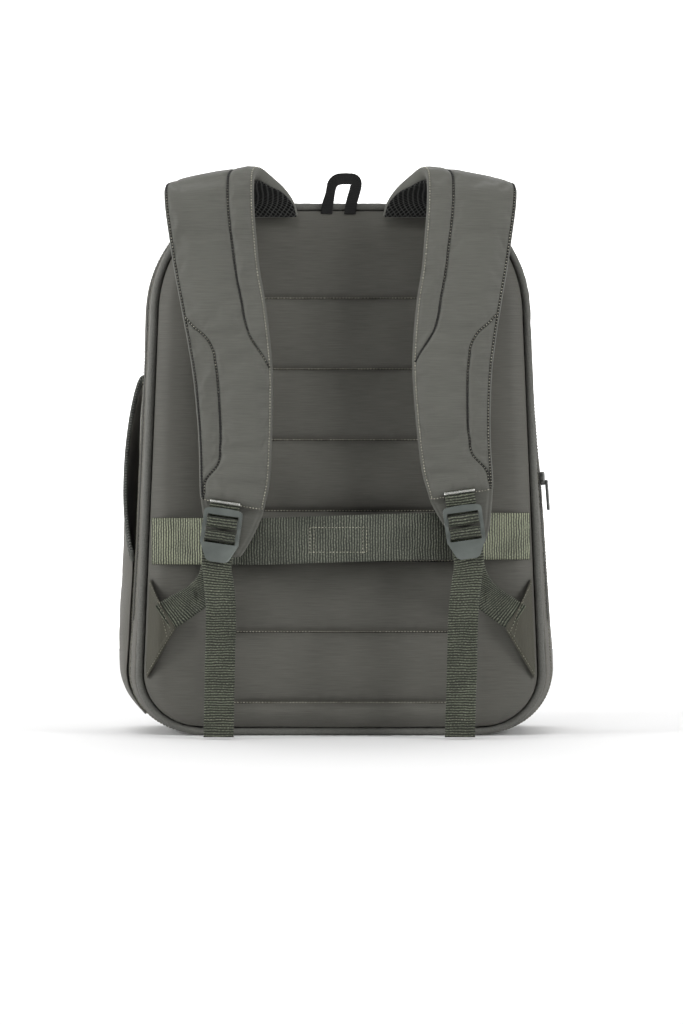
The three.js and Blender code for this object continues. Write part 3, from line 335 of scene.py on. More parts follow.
def skin(name, grid, wrap=False, ring=False, ends=False, outward=None):
    """A mesh over a grid of points in millimetres. wrap joins each row's last point to its first, ring the
    last row to the first, and ends fills the first and last rows. Its map holds metres along and across."""
    grid = np.asarray(grid, float)
    rows, columns = grid.shape[:2]
    across = np.linalg.norm(np.diff(grid, axis=1), axis=2)
    u = np.concatenate([np.zeros((rows, 1)), np.cumsum(across, axis=1)], axis=1)
    u -= u[:, columns // 2 : columns // 2 + 1]
    v = np.concatenate([[0], np.cumsum(np.linalg.norm(np.diff(grid, axis=0), axis=2).mean(axis=1))])
    mesh = bpy.data.meshes.new(name)
    faces, maps = [], []
    for i in range(rows if ring else rows - 1):
        k = (i + 1) % rows
        v_here = v[i]
        v_next = v[i + 1] if i + 1 < rows else v[i] + np.linalg.norm(grid[0] - grid[i], axis=1).mean()
        for j in range(columns if wrap else columns - 1):
            n = (j + 1) % columns
            faces.append((i * columns + j, i * columns + n, k * columns + n, k * columns + j))
            if n:
                u_next, u_far = u[i, n], u[k, n]
            else:
                u_next = u[i, j] + np.linalg.norm(grid[i, 0] - grid[i, j])
                u_far = u[k, j] + np.linalg.norm(grid[k, 0] - grid[k, j])
            maps += [u[i, j], v_here, u_next, v_here, u_far, v_next, u[k, j], v_next]
    if ends:
        for row, order in ((0, range(columns - 1, -1, -1)), (rows - 1, range(columns))):
            faces.append(tuple(row * columns + j for j in order))
            for j in order:
                maps += [grid[row, j, 0], grid[row, j, 1]]
    mesh.from_pydata(in_row(grid).reshape(-1, 3).tolist(), [], faces)
    layer = mesh.uv_layers.new(name="cloth")
    layer.data.foreach_set("uv", np.asarray(maps, np.float32) / 1000)
    along = mesh.attributes.new("along", "FLOAT", "POINT")
    along.data.foreach_set("value", np.repeat(v / 1000, columns).astype(np.float32))
    piece = bpy.data.objects.new(name, mesh)
    bpy.context.scene.collection.objects.link(piece)
    turn_outwards(piece, outward)
    mesh.polygons.foreach_set("use_smooth", [True] * len(mesh.polygons))
    return piece


def turn_outwards(piece, outward=None):
    """Turns faces outwards: a closed piece by its volume, and a sheet away from a point in millimetres."""
    mesh = piece.data
    centres = np.zeros(len(mesh.polygons) * 3, np.float32)
    normals = np.zeros(len(mesh.polygons) * 3, np.float32)
    areas = np.zeros(len(mesh.polygons), np.float32)
    mesh.polygons.foreach_get("center", centres)
    mesh.polygons.foreach_get("normal", normals)
    mesh.polygons.foreach_get("area", areas)
    centres, normals = centres.reshape(-1, 3), normals.reshape(-1, 3)
    middle = centres.mean(axis=0) if outward is None else in_row([outward])[0]
    if ((centres - middle) * normals).sum(axis=1) @ areas < 0:
        mesh.flip_normals()


def corners(mesh):
    found = np.zeros(len(mesh.vertices) * 3, np.float32)
    mesh.vertices.foreach_get("co", found)
    return found.reshape(-1, 3)


def baked(piece):
    """Makes the piece's modifiers part of its mesh."""
    graph = bpy.context.evaluated_depsgraph_get()
    shown = piece.evaluated_get(graph)
    made = bpy.data.meshes.new_from_object(shown, preserve_all_data_layers=True, depsgraph=graph)
    piece.modifiers.clear()
    piece.data = made
    made.name = piece.name
    return piece


def thick(piece, wall):
    solid = piece.modifiers.new("wall", "SOLIDIFY")
    solid.thickness = wall / 1000
    solid.offset = -1
    solid.use_even_offset = True
    return baked(piece)


def rounder(piece):
    finer = piece.modifiers.new("rounder", "SUBSURF")
    finer.levels = finer.render_levels = 1
    return baked(piece)


def creased(grid, depth, size, seed, edge, closed=False):
    """Moves a sheet's inner points along their normals into soft folds. Its sewn edges stay."""
    grid = np.array(grid, float)
    rows, columns = grid.shape[:2]
    down = np.gradient(grid, axis=0)
    if closed:
        down[0] = down[-1] = (grid[1] - grid[-1]) / 2
    normals = np.cross(np.gradient(grid, axis=1), down)
    normals /= np.maximum(np.linalg.norm(normals, axis=2, keepdims=True), 1e-9)
    for i in range(rows):
        for j in range(columns):
            share = j / (columns - 1)
            hold = clamp(min(share, 1 - share) / edge)
            if not closed:
                hold *= clamp(min(i, rows - 1 - i) / max(2, rows * 0.04))
            if hold <= 0:
                continue
            place = Vector(grid[i, j]) / size
            fold = noise(place + Vector((seed, 0, 0))) + 0.5 * noise(place * 2.1 + Vector((0, seed, 0)))
            ridge = 0.5 - abs(noise(place * 0.8 + Vector((0, 0, seed))))
            grid[i, j] += normals[i, j] * depth * hold * (fold * 0.7 + ridge * 0.6 - 0.3)
    return grid


swelling_frames = 20


def swollen(name, grid, pins, caps, pressure, growth):
    """Lets a sewn sheet swell between its seams by a cloth simulation. Each point stays within its cap."""
    grid = np.asarray(grid, float)
    sheet = skin(name, grid)
    rest = corners(sheet.data).copy()
    sewn = sheet.vertex_groups.new(name="sewn")
    sewn.add(np.flatnonzero(np.asarray(pins).ravel()).tolist(), 1.0, "REPLACE")
    cloth = sheet.modifiers.new("cloth", "CLOTH")
    cloth.settings.vertex_group_mass = "sewn"
    cloth.settings.quality = 5
    cloth.settings.mass = 0.25
    cloth.settings.use_pressure = True
    cloth.settings.uniform_pressure_force = pressure
    cloth.settings.shrink_min = -growth
    cloth.settings.bending_stiffness = 1.5
    cloth.settings.tension_stiffness = cloth.settings.compression_stiffness = 6
    cloth.settings.effector_weights.gravity = 0
    cloth.collision_settings.use_collision = False
    cloth.collision_settings.use_self_collision = False
    cloth.point_cache.frame_start, cloth.point_cache.frame_end = 1, swelling_frames
    for number in range(1, swelling_frames + 1):
        bpy.context.scene.frame_set(number)
    graph = bpy.context.evaluated_depsgraph_get()
    moved = corners(sheet.evaluated_get(graph).data) - rest
    bpy.data.objects.remove(sheet)
    bpy.context.scene.frame_set(1)
    far = np.linalg.norm(moved, axis=1, keepdims=True) * 1000
    caps = np.asarray(caps, float).reshape(-1, 1)
    moved *= caps * np.tanh(far / caps) / np.maximum(far, 1e-6)
    return grid + moved.reshape(grid.shape) * 1000


def dress(piece, slot, material, *nodes, body="root"):
    """Gives a finished piece its material and its place in the row."""
    piece.data.materials.clear()
    piece.data.materials.append(material)
    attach(piece, body)
    if nodes:
        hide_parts(*nodes)
    return piece


# Node trees


def add_node(tree, kind, settings=None, **inputs):
    """Adds a node. Inputs are values or another node's output; their names hold _ for a space."""
    node = tree.nodes.new(kind)
    for key, value in (settings or {}).items():
        setattr(node, key, value)
    for key, value in inputs.items():
        name = key.replace("_", " ")
        socket = node.inputs[int(key[1:])] if key[0] == "i" and key[1:].isdigit() else node.inputs[name]
        if isinstance(value, bpy.types.NodeSocket):
            tree.links.new(value, socket)
        else:
            socket.default_value = value
    return node.outputs[0]


def maths(tree, what, *values, clamped=False):
    kinds = {f"i{i}": value for i, value in enumerate(values)}
    return add_node(tree, "ShaderNodeMath", {"operation": what, "use_clamp": clamped}, **kinds)


def new_tree(title, **sizes):
    """An empty geometry tree with a geometry input and named sizes. Gives the tree and its inputs."""
    tree = bpy.data.node_groups.new(title, "GeometryNodeTree")
    tree.interface.new_socket("Geometry", in_out="INPUT", socket_type="NodeSocketGeometry")
    for label, value in sizes.items():
        name = label.replace("_", " ")
        socket = tree.interface.new_socket(name, in_out="INPUT", socket_type="NodeSocketFloat")
        socket.default_value = value
    tree.interface.new_socket("Material", in_out="INPUT", socket_type="NodeSocketMaterial")
    tree.interface.new_socket("Geometry", in_out="OUTPUT", socket_type="NodeSocketGeometry")
    entry = tree.nodes.new("NodeGroupInput")
    return tree, {output.name: output for output in entry.outputs}


def evenly(tree, path, spacing):
    """Points at even spacing along a path's mesh lines."""
    even = tree.nodes.new("GeometryNodeResampleCurve")
    even.mode = "LENGTH"
    tree.links.new(add_node(tree, "GeometryNodeMeshToCurve", Mesh=path), even.inputs["Curve"])
    tree.links.new(spacing, even.inputs["Length"])
    return even.outputs[0]


def bead(tree, segments, rings, size):
    ball = add_node(tree, "GeometryNodeMeshUVSphere", Segments=segments, Rings=rings, Radius=0.5)
    sized = add_node(tree, "GeometryNodeTransform", Geometry=ball, Scale=size)
    return add_node(tree, "GeometryNodeSetShadeSmooth", Geometry=sized)


def close_tree(tree, geometry, material):
    real = add_node(tree, "GeometryNodeRealizeInstances", Geometry=geometry)
    painted = add_node(tree, "GeometryNodeSetMaterial", Geometry=real, Material=material)
    leave = tree.nodes.new("NodeGroupOutput")
    tree.links.new(painted, leave.inputs[0])
    return tree


def grown(piece, tree, material, **sizes):
    """Runs a geometry tree on a piece and keeps the plain mesh that it makes."""
    maker = piece.modifiers.new(tree.name, "NODES")
    maker.node_group = tree
    for item in tree.interface.items_tree:
        if item.item_type == "SOCKET" and item.in_out == "INPUT":
            label = item.name.replace(" ", "_")
            if label in sizes:
                maker[item.identifier] = float(sizes[label])
            elif item.name == "Material":
                maker[item.identifier] = material
    return baked(piece)


def stitch_tree():
    tree, given = new_tree("stitches_along_a_seam", Spacing=0.0024, Length=0.0017, Thread=0.0003)
    even = evenly(tree, given["Geometry"], given["Spacing"])
    wide = maths(tree, "MULTIPLY", given["Thread"], 2.0)
    stitch = bead(tree, 6, 4, add_node(tree, "ShaderNodeCombineXYZ", X=wide, Y=wide, Z=given["Length"]))
    turn = add_node(tree, "FunctionNodeAlignRotationToVector", {"axis": "Z"},
                    Vector=add_node(tree, "GeometryNodeInputTangent"))
    rows = add_node(tree, "GeometryNodeInstanceOnPoints", Points=even, Instance=stitch, Rotation=turn)
    return close_tree(tree, rows, given["Material"])


def thread_tree():
    tree, given = new_tree("thread_along_a_path", Thread=0.0003)
    path = add_node(tree, "GeometryNodeMeshToCurve", Mesh=given["Geometry"])
    ring = add_node(tree, "GeometryNodeCurvePrimitiveCircle", Resolution=6, Radius=given["Thread"])
    tube = add_node(tree, "GeometryNodeCurveToMesh", Curve=path, Profile_Curve=ring, Fill_Caps=True)
    soft = add_node(tree, "GeometryNodeSetShadeSmooth", Geometry=tube)
    return close_tree(tree, soft, given["Material"])


def teeth_tree():
    tree, given = new_tree("zip_teeth_along_a_path", Spacing=0.0015, Width=0.0044, Tooth=0.0011,
                           Height=0.0014)
    even = evenly(tree, given["Geometry"], given["Spacing"])
    size = add_node(tree, "ShaderNodeCombineXYZ", X=given["Width"], Y=given["Height"], Z=given["Tooth"])
    tooth = bead(tree, 8, 5, size)
    out = add_node(tree, "GeometryNodeInputNamedAttribute", {"data_type": "FLOAT_VECTOR"}, Name="out")
    along = add_node(tree, "FunctionNodeAlignRotationToVector", {"axis": "Z"},
                     Vector=add_node(tree, "GeometryNodeInputTangent"))
    facing = add_node(tree, "FunctionNodeAlignRotationToVector", {"axis": "Y", "pivot_axis": "Z"},
                      Rotation=along, Vector=out)
    rows = add_node(tree, "GeometryNodeInstanceOnPoints", Points=even, Instance=tooth, Rotation=facing)
    return close_tree(tree, rows, given["Material"])


def rib_tree():
    tree, given = new_tree("woven_ribs", Spacing=0.0021, Height=0.00035)
    along = add_node(tree, "GeometryNodeInputNamedAttribute", {"data_type": "FLOAT"}, Name="along")
    turns = maths(tree, "MULTIPLY", maths(tree, "DIVIDE", along, given["Spacing"]), math.pi)
    wave = maths(tree, "POWER", maths(tree, "ABSOLUTE", maths(tree, "SINE", turns)), 0.55)
    rise = maths(tree, "MULTIPLY", maths(tree, "SUBTRACT", wave, 0.75), given["Height"])
    way = add_node(tree, "ShaderNodeVectorMath", {"operation": "SCALE"},
                   i0=add_node(tree, "GeometryNodeInputNormal"), Scale=rise)
    ribbed = add_node(tree, "GeometryNodeSetPosition", Geometry=given["Geometry"], Offset=way)
    return close_tree(tree, ribbed, given["Material"])


def build_shade_tube_tree():
    """A dark tube along a seam: painted shade for the seam's crease, thicker at each needle hole as painted
    shade in the holes.
    """
    tree, given = new_tree("fold_with_needle_holes", Spacing=0.0024, Width=0.0009, Hole=0.0016)
    even = evenly(tree, given["Geometry"], maths(tree, "MULTIPLY", given["Spacing"], 0.25))
    length = add_node(tree, "GeometryNodeSplineParameter").node.outputs["Length"]
    turns = maths(tree, "MULTIPLY", maths(tree, "DIVIDE", length, given["Spacing"]), math.pi)
    hole = maths(tree, "POWER", maths(tree, "ABSOLUTE", maths(tree, "SINE", turns)), 3.0)
    wider = maths(tree, "MULTIPLY", hole, maths(tree, "SUBTRACT", given["Hole"], given["Width"]))
    radius = maths(tree, "MULTIPLY", maths(tree, "ADD", given["Width"], wider), 0.5)
    sized = add_node(tree, "GeometryNodeSetCurveRadius", Curve=even, Radius=radius)
    ring = add_node(tree, "GeometryNodeCurvePrimitiveCircle", Resolution=6, Radius=1.0)
    tube = add_node(tree, "GeometryNodeCurveToMesh", Curve=sized, Profile_Curve=ring, Fill_Caps=True,
                    Scale=add_node(tree, "GeometryNodeInputRadius"))
    soft = add_node(tree, "GeometryNodeSetShadeSmooth", Geometry=tube)
    return close_tree(tree, soft, given["Material"])


stitches = stitch_tree()
thread = thread_tree()
crease_shade_tree = build_shade_tube_tree()
teeth = teeth_tree()
ribs = rib_tree()


def seam_lines(name, runs, outs=None):
    """A piece of bare lines in millimetres, for a tree to work on. outs gives each point's way outwards."""
    points, edges = [], []
    for run in runs:
        start = len(points)
        points += [tuple(p) for p in in_row(run)]
        edges += [(start + i, start + i + 1) for i in range(len(run) - 1)]
    mesh = bpy.data.meshes.new(name)
    mesh.from_pydata(points, edges, [])
    if outs is not None:
        way = mesh.attributes.new("out", "FLOAT_VECTOR", "POINT")
        way.data.foreach_set("vector", np.concatenate(outs).astype(np.float32).ravel())
    piece = bpy.data.objects.new(name, mesh)
    bpy.context.scene.collection.objects.link(piece)
    return piece


def laid_along(name, runs, tree, slot, material, outs=None, **sizes):
    """Makes what repeats along lines, such as stitches or teeth, a piece of its own."""
    return dress(grown(seam_lines(name, runs, outs), tree, material, **sizes), slot, material)


def laid_on(piece, run, out, lift):
    """Drops a line in millimetres on a finished piece, along the direction that out gives at each point."""
    tree = BVHTree.FromObject(piece, bpy.context.evaluated_depsgraph_get())
    found = []
    for point, way in zip(run, np.broadcast_to(out, np.shape(run))):
        way = Vector(way).normalized()
        start = Vector(in_row([point])[0]) + way * 0.012
        hit = tree.ray_cast(start, -way, 0.03)[0]
        found.append(point if hit is None else np.array(hit + way * lift / 1000) * 1000 - shift)
    return np.array(found)


# Finishes


def tone(red, green, blue):
    """A colour given as a screen shows it, 0 to 255, in the linear numbers that a shader takes."""
    shares = [level / 255 for level in (red, green, blue)]
    return *(c / 12.92 if c <= 10 / 255 else ((c + 0.055) / 1.055) ** 2.4 for c in shares), 1


def shader(name, roughness, sheen=0.0, metallic=0.0, specular=0.5):
    material = bpy.data.materials.new(name)
    material.use_nodes = True
    tree = material.node_tree
    surface = tree.nodes["Principled BSDF"]
    surface.inputs["Roughness"].default_value = roughness
    surface.inputs["Metallic"].default_value = metallic
    surface.inputs["Specular IOR Level"].default_value = specular
    surface.inputs["Sheen Weight"].default_value = sheen
    return material, tree, surface


def cloth_map(tree):
    """The piece's own map, in metres: u across and v along."""
    apart = tree.nodes.new("ShaderNodeSeparateXYZ")
    uv = add_node(tree, "ShaderNodeUVMap", {"uv_map": "cloth"})
    tree.links.new(uv, apart.inputs[0])
    return uv, apart.outputs[0], apart.outputs[1]


def blended(tree, share, low, high):
    mixer = tree.nodes.new("ShaderNodeMix")
    mixer.data_type = "RGBA"
    for socket, value in ((0, share), (6, low), (7, high)):
        if isinstance(value, bpy.types.NodeSocket):
            tree.links.new(value, mixer.inputs[socket])
        else:
            mixer.inputs[socket].default_value = value
    return mixer.outputs[2]


def spread(tree, value, low, high):
    """Stretches low to high over 0 to 1."""
    return add_node(tree, "ShaderNodeMapRange", Value=value, From_Min=low, From_Max=high)


def bumped(tree, surface, height, depth, strength=1.0):
    raised = add_node(tree, "ShaderNodeBump", Height=height, Distance=depth, Strength=strength)
    tree.links.new(raised, surface.inputs["Normal"])


nylon_roughness = 0.62


def nylon(name, dark, light, weave=0.0006, streak=(48, 1900)):
    """Woven nylon: long fine streaks across, faint cloudy shade, and a plain weave with thicker threads."""
    material, tree, surface = shader(name, nylon_roughness, 0.05, specular=0.28)
    uv, u, v = cloth_map(tree)
    stretched = add_node(tree, "ShaderNodeMapping", Vector=uv, Scale=(streak[0], streak[1], 1))
    streaks = add_node(tree, "ShaderNodeTexNoise", Vector=stretched, Scale=1.0, Detail=2.0, Roughness=0.65)
    clouds = add_node(tree, "ShaderNodeTexNoise", Scale=16.0, Detail=3.0,
                      Vector=tree.nodes.new("ShaderNodeTexCoord").outputs["Object"])
    warp = maths(tree, "SINE", maths(tree, "MULTIPLY", u, 2 * math.pi / weave))
    weft = maths(tree, "SINE", maths(tree, "MULTIPLY", v, 2 * math.pi / weave))
    threads = maths(tree, "MULTIPLY", warp, weft)
    shade = maths(tree, "ADD", maths(tree, "MULTIPLY", spread(tree, streaks, 0.3, 0.7), 0.5),
                  maths(tree, "MULTIPLY", spread(tree, clouds, 0.25, 0.75), 0.3))
    shade = maths(tree, "ADD", shade, maths(tree, "MULTIPLY", threads, 0.1), clamped=True)
    tree.links.new(blended(tree, shade, dark, light), surface.inputs["Base Color"])
    rough = maths(tree, "ADD", maths(tree, "MULTIPLY", clouds, 0.16), nylon_roughness - 0.08)
    tree.links.new(rough, surface.inputs["Roughness"])
    height = maths(tree, "ADD", maths(tree, "MULTIPLY", threads, 0.5), streaks)
    bumped(tree, surface, height, 0.00009, 0.45)
    return material


float_length = 0.0029


def webbing_cloth(name, dark, light, spacing=0.0021, glint=None, bright_ends=None):
    """Ribbed webbing: thick light threads in short floats over each rib, and dark between the ribs as painted
    shade in the grooves. A glint colour, where given, paints a highlight on the ribs.
    """
    material, tree, surface = shader(name, 0.55, 0.04, specular=0.25)
    uv, u, v = cloth_map(tree)
    place = tree.nodes.new("ShaderNodeTexCoord").outputs["Object"]
    wander = add_node(tree, "ShaderNodeTexNoise", Vector=place, Scale=110.0, Detail=1.0)
    even = maths(tree, "ADD", v, maths(tree, "MULTIPLY", wander, spacing * 0.8))
    ridge = maths(tree, "SINE", maths(tree, "MULTIPLY", even, math.pi / spacing))
    rib = maths(tree, "POWER", maths(tree, "ABSOLUTE", ridge), 2.4)
    across = maths(tree, "SINE", maths(tree, "MULTIPLY", u, 2 * math.pi / float_length))
    floats = maths(tree, "MULTIPLY", across, ridge)
    fine = add_node(tree, "ShaderNodeMapping", Vector=uv, Scale=(700, 1500, 1))
    grain = add_node(tree, "ShaderNodeTexNoise", Vector=fine, Scale=1.0, Detail=2.0, Roughness=0.7)
    clouds = add_node(tree, "ShaderNodeTexNoise", Scale=42.0, Detail=2.0, Vector=place)
    shade = maths(tree, "ADD", spread(tree, grain, 0.2, 0.8), maths(tree, "MULTIPLY", floats, 0.14))
    # Multiplying by rib darkens the colour between the ribs: painted shade in the grooves.
    shade = maths(tree, "MULTIPLY", rib, maths(tree, "ADD", shade, 0.25))
    cloudy = maths(tree, "ADD", spread(tree, clouds, 0.2, 0.8), 0.5)
    shade = maths(tree, "MULTIPLY", shade, cloudy, clamped=True)
    colour = blended(tree, shade, dark, light)
    # The glint colour lightens the ribs where the grain is light: painted highlight.
    if glint:
        bright = maths(tree, "MULTIPLY", spread(tree, grain, 0.5, 0.72), rib, clamped=True)
        colour = blended(tree, maths(tree, "MULTIPLY", bright, 0.75), colour, glint)
    if bright_ends:
        apart = tree.nodes.new("ShaderNodeSeparateXYZ")
        tree.links.new(place, apart.inputs[0])
        off = maths(tree, "ABSOLUTE", maths(tree, "SUBTRACT", apart.outputs[0], shift[0] / 1000))
        outer = maths(tree, "MULTIPLY", spread(tree, off, 0.103, 0.112), shade, clamped=True)
        colour = blended(tree, maths(tree, "MULTIPLY", outer, 0.85), colour, bright_ends)
    tree.links.new(colour, surface.inputs["Base Color"])
    bumped(tree, surface, maths(tree, "ADD", maths(tree, "MULTIPLY", floats, 0.25), grain), 0.0002, 0.6)
    return material


def spacer_mesh(name, dark, light, spacing=0.0040):
    """Open knitted mesh: a net of threads round rows of offset holes."""
    material, tree, surface = shader(name, 0.85, 0.03, specular=0.15)
    uv, u, v = cloth_map(tree)
    first = maths(tree, "SINE", maths(tree, "MULTIPLY", maths(tree, "ADD", u, v), math.pi / spacing))
    second = maths(tree, "SINE", maths(tree, "MULTIPLY", maths(tree, "SUBTRACT", u, v), math.pi / spacing))
    holes = spread(tree, maths(tree, "ABSOLUTE", maths(tree, "MULTIPLY", first, second)), 0.12, 0.45)
    fine = add_node(tree, "ShaderNodeTexNoise", Vector=uv, Scale=2200.0, Detail=2.0)
    threads = maths(tree, "SUBTRACT", 1.0, holes)
    shade = maths(tree, "MULTIPLY", threads, maths(tree, "ADD", fine, 0.4), clamped=True)
    tree.links.new(blended(tree, shade, dark, light), surface.inputs["Base Color"])
    bumped(tree, surface, shade, 0.0009, 1.0)
    return material


def rubbed_edges(tree, sharpest, patches):
    """Share of wear: on outer edges only, in patches."""
    edge = tree.nodes.new("ShaderNodeNewGeometry").outputs["Pointiness"]
    return maths(tree, "MULTIPLY", spread(tree, edge, 0.52, sharpest), patches, clamped=True)


def moulded(name, colour, worn, roughness):
    """Moulded plastic: a fine spark texture, cloudy sheen and edges rubbed lighter."""
    material, tree, surface = shader(name, roughness)
    place = tree.nodes.new("ShaderNodeTexCoord").outputs["Object"]
    grain = add_node(tree, "ShaderNodeTexNoise", Vector=place, Scale=2600.0, Detail=2.0)
    clouds = add_node(tree, "ShaderNodeTexNoise", Vector=place, Scale=70.0, Detail=4.0)
    rubbed = rubbed_edges(tree, 0.62, spread(tree, clouds, 0.25, 0.7))
    shade = blended(tree, maths(tree, "MULTIPLY", spread(tree, clouds, 0.3, 0.7), 0.25), colour, worn)
    tree.links.new(blended(tree, rubbed, shade, worn), surface.inputs["Base Color"])
    tree.links.new(maths(tree, "ADD", maths(tree, "MULTIPLY", clouds, 0.22), roughness - 0.11),
                   surface.inputs["Roughness"])
    bumped(tree, surface, grain, 0.00003, 0.5)
    return material


def painted_zinc(name, colour, bare):
    material, tree, surface = shader(name, 0.38, metallic=0.55)
    place = tree.nodes.new("ShaderNodeTexCoord").outputs["Object"]
    scuffs = add_node(tree, "ShaderNodeTexNoise", Vector=place, Scale=400.0, Detail=5.0)
    rubbed = rubbed_edges(tree, 0.6, spread(tree, scuffs, 0.35, 0.6))
    tree.links.new(blended(tree, rubbed, colour, bare), surface.inputs["Base Color"])
    rough = maths(tree, "ADD", maths(tree, "MULTIPLY", scuffs, 0.2), 0.28)
    tree.links.new(rough, surface.inputs["Roughness"])
    bumped(tree, surface, scuffs, 0.00002, 0.5)
    return material


def spun_thread(name, dark, light):
    material, tree, surface = shader(name, 0.5, 0.05, specular=0.25)
    place = tree.nodes.new("ShaderNodeTexCoord").outputs["Object"]
    twist = add_node(tree, "ShaderNodeTexNoise", Vector=place, Scale=900.0, Detail=2.0)
    tree.links.new(blended(tree, spread(tree, twist, 0.35, 0.65), dark, light), surface.inputs["Base Color"])
    bumped(tree, surface, twist, 0.00008, 0.8)
    return material


strap_nylon = nylon("strap_nylon", tone(75, 75, 70), tone(97, 97, 91))
panel_nylon = nylon("panel_nylon", tone(70, 69, 64), tone(94, 93, 87))
shell_nylon = nylon("shell_nylon", tone(80, 79, 74), tone(104, 102, 96))
wing_nylon = nylon("wing_nylon", tone(54, 53, 44), tone(78, 76, 66))
cord_nylon = nylon("corded_nylon", tone(74, 74, 70), tone(106, 106, 101), streak=(700, 700))
# Each webbing's dark colour is painted shade between its ribs, and its glint colour a painted highlight.
strap_webbing = webbing_cloth("strap_webbing", tone(20, 22, 18), tone(90, 94, 80), glint=tone(140, 144, 126))
handle_webbing = webbing_cloth("handle_webbing", tone(26, 28, 24), tone(100, 103, 92),
                               glint=tone(142, 146, 130), bright_ends=tone(150, 154, 128))
loop_webbing = webbing_cloth("loop_webbing", tone(5, 5, 5), tone(26, 26, 25), spacing=0.0014)
knit_elastic = webbing_cloth("knit_elastic", tone(18, 19, 18), tone(112, 114, 108), spacing=0.0024,
                             glint=tone(150, 152, 146))
tape_weave = nylon("zip_tape_weave", tone(34, 35, 32), tone(52, 53, 49), weave=0.0009, streak=(900, 900))
coil_nylon = moulded("zip_coil_nylon", tone(48, 49, 46), tone(82, 83, 79), 0.4)
lining_mesh = spacer_mesh("lining_mesh", tone(4, 4, 4), tone(66, 67, 65))
buckle_plastic = moulded("buckle_plastic", tone(74, 79, 76), tone(118, 124, 120), 0.38)
pull_plastic = moulded("pull_plastic", tone(48, 50, 48), tone(80, 83, 80), 0.45)
slider_paint = painted_zinc("slider_paint", tone(50, 52, 50), tone(140, 140, 136))
fabric_thread = spun_thread("fabric_thread", tone(66, 65, 56), tone(140, 138, 122))
pale_thread = spun_thread("pale_thread", tone(92, 90, 78), tone(186, 183, 166))
white_thread = spun_thread("white_thread", tone(206, 206, 200), tone(244, 244, 240))
# Near-black colour of the tubes along the seams: painted shade in their creases and needle holes.
fold_cloth = spun_thread("fold_cloth", tone(9, 9, 8), tone(28, 28, 25))


# Quilted back panel


quilt_columns, side_columns = 84, 18
most_swelling, least_swelling = 3.6, 0.15


def panel_rows():
    """Heights of the panel's rows of points, closer together beside the seams."""
    rows = []
    for low, high in zip(panel_lines, panel_lines[1:]):
        count = max(8, round((high - low) / 2.6))
        shares = np.linspace(0, 1, count, endpoint=False)
        shares = mix(shares, (1 - np.cos(shares * math.pi)) / 2, 0.5)
        rows += list(mix(low, high, shares))
    return np.array(rows + panel_lines[-1:])


def quilted_panel():
    heights = panel_rows()
    shares = [("side", t) for t in np.linspace(-1, 0, side_columns, endpoint=False)]
    shares += [("quilt", t) for t in np.linspace(-1, 1, quilt_columns + 1)]
    shares += [("side", t) for t in np.linspace(0, 1, side_columns + 1)[1:]]
    grid = np.zeros((len(heights), len(shares), 3))
    pins = np.zeros(grid.shape[:2], bool)
    caps = np.zeros(grid.shape[:2])
    for i, z in enumerate(heights):
        half, quilt = half_width(panel_shape, z), quilt_half_at(z)
        on_seam = min(abs(z - seam) for seam in quilt_seams) < 0.01
        for j, (part, t) in enumerate(shares):
            x = t * quilt if part == "quilt" else math.copysign(mix(quilt, half, abs(t)), t)
            grid[i, j] = x, -pad_height(x, z), z
            edge = j in (0, len(shares) - 1) or i in (0, len(heights) - 1)
            pins[i, j] = edge or (part == "quilt" and (on_seam or abs(t) == 1))
            under_strap = ease(abs(x), 66, 82) * (1 - ease(abs(z - luggage_height), 20, 30))
            under_wing = ease(abs(x), 98, 116) * (1 - ease(z, 134, 150))
            caps[i, j] = mix(most_swelling, least_swelling, max(under_strap, under_wing))
    grid = puckered(swollen("panel_sheet", grid, pins, caps, 4.0, 0.0), heights)
    back = grid[:, ::-1].copy()[:, ::6]
    back[:, :, 1] = panel_edge - edge_height
    back[:, :, 0] *= 0.995
    return rounder(skin("quilted_panel", np.concatenate([grid, back], axis=1), wrap=True, ends=True))


def puckered(grid, heights):
    """Pulls small creases out of the panel's seams and softens each pad's face."""
    for i, z in enumerate(heights):
        for j in range(1, grid.shape[1] - 1):
            x, y, _ = grid[i, j]
            if abs(x) > quilt_half_at(z) - 2:
                continue
            above = min((z - seam for seam in quilt_seams if z - seam > -0.01), default=99)
            below = min((seam - z for seam in quilt_seams if seam - z > -0.01), default=99)
            off = min(above, below)
            near = math.exp(-(off / 7) ** 2) * ease(off, 0, 1.6)
            grid[i, j, 1] += 1.5 * math.exp(-(off / 2.6) ** 2) * ease(quilt_half_at(z) - abs(x), 2, 8)
            side = 5.3 if above < below else 9.7
            grid[i, j, 1] -= near * (0.8 + 1.3 * noise(Vector((x / 6.5, side, z / 40))))
            grid[i, j, 1] -= 0.9 * noise(Vector((x / 34, z / 21, 2.7))) * ease(off, 2, 12)
    return grid


panel = dress(quilted_panel(), "panel_fabric", panel_nylon, "back_panel")

seam_runs = []
for seam in quilt_seams:
    reach = quilt_half_at(seam) - 1.5
    run = [(x, -pad_height(x, seam), seam) for x in np.arange(-reach, reach, 2.0)]
    seam_runs.append(laid_on(panel, run, (0, -1, 0), 0.35))
laid_along("panel_stitches", seam_runs, stitches, "panel_fabric", pale_thread, Spacing=0.0025, Thread=0.0004)
# Dark tubes just under the panel's stitches: painted shade in the seams' creases.
crease_shade_runs = [run + (0, 0.3, -0.6) for run in seam_runs]
laid_along("panel_folds", crease_shade_runs, thread, "panel_fabric", fold_cloth, Thread=0.0006)

# Piping, gussets and zips

around = loop_shares(760)


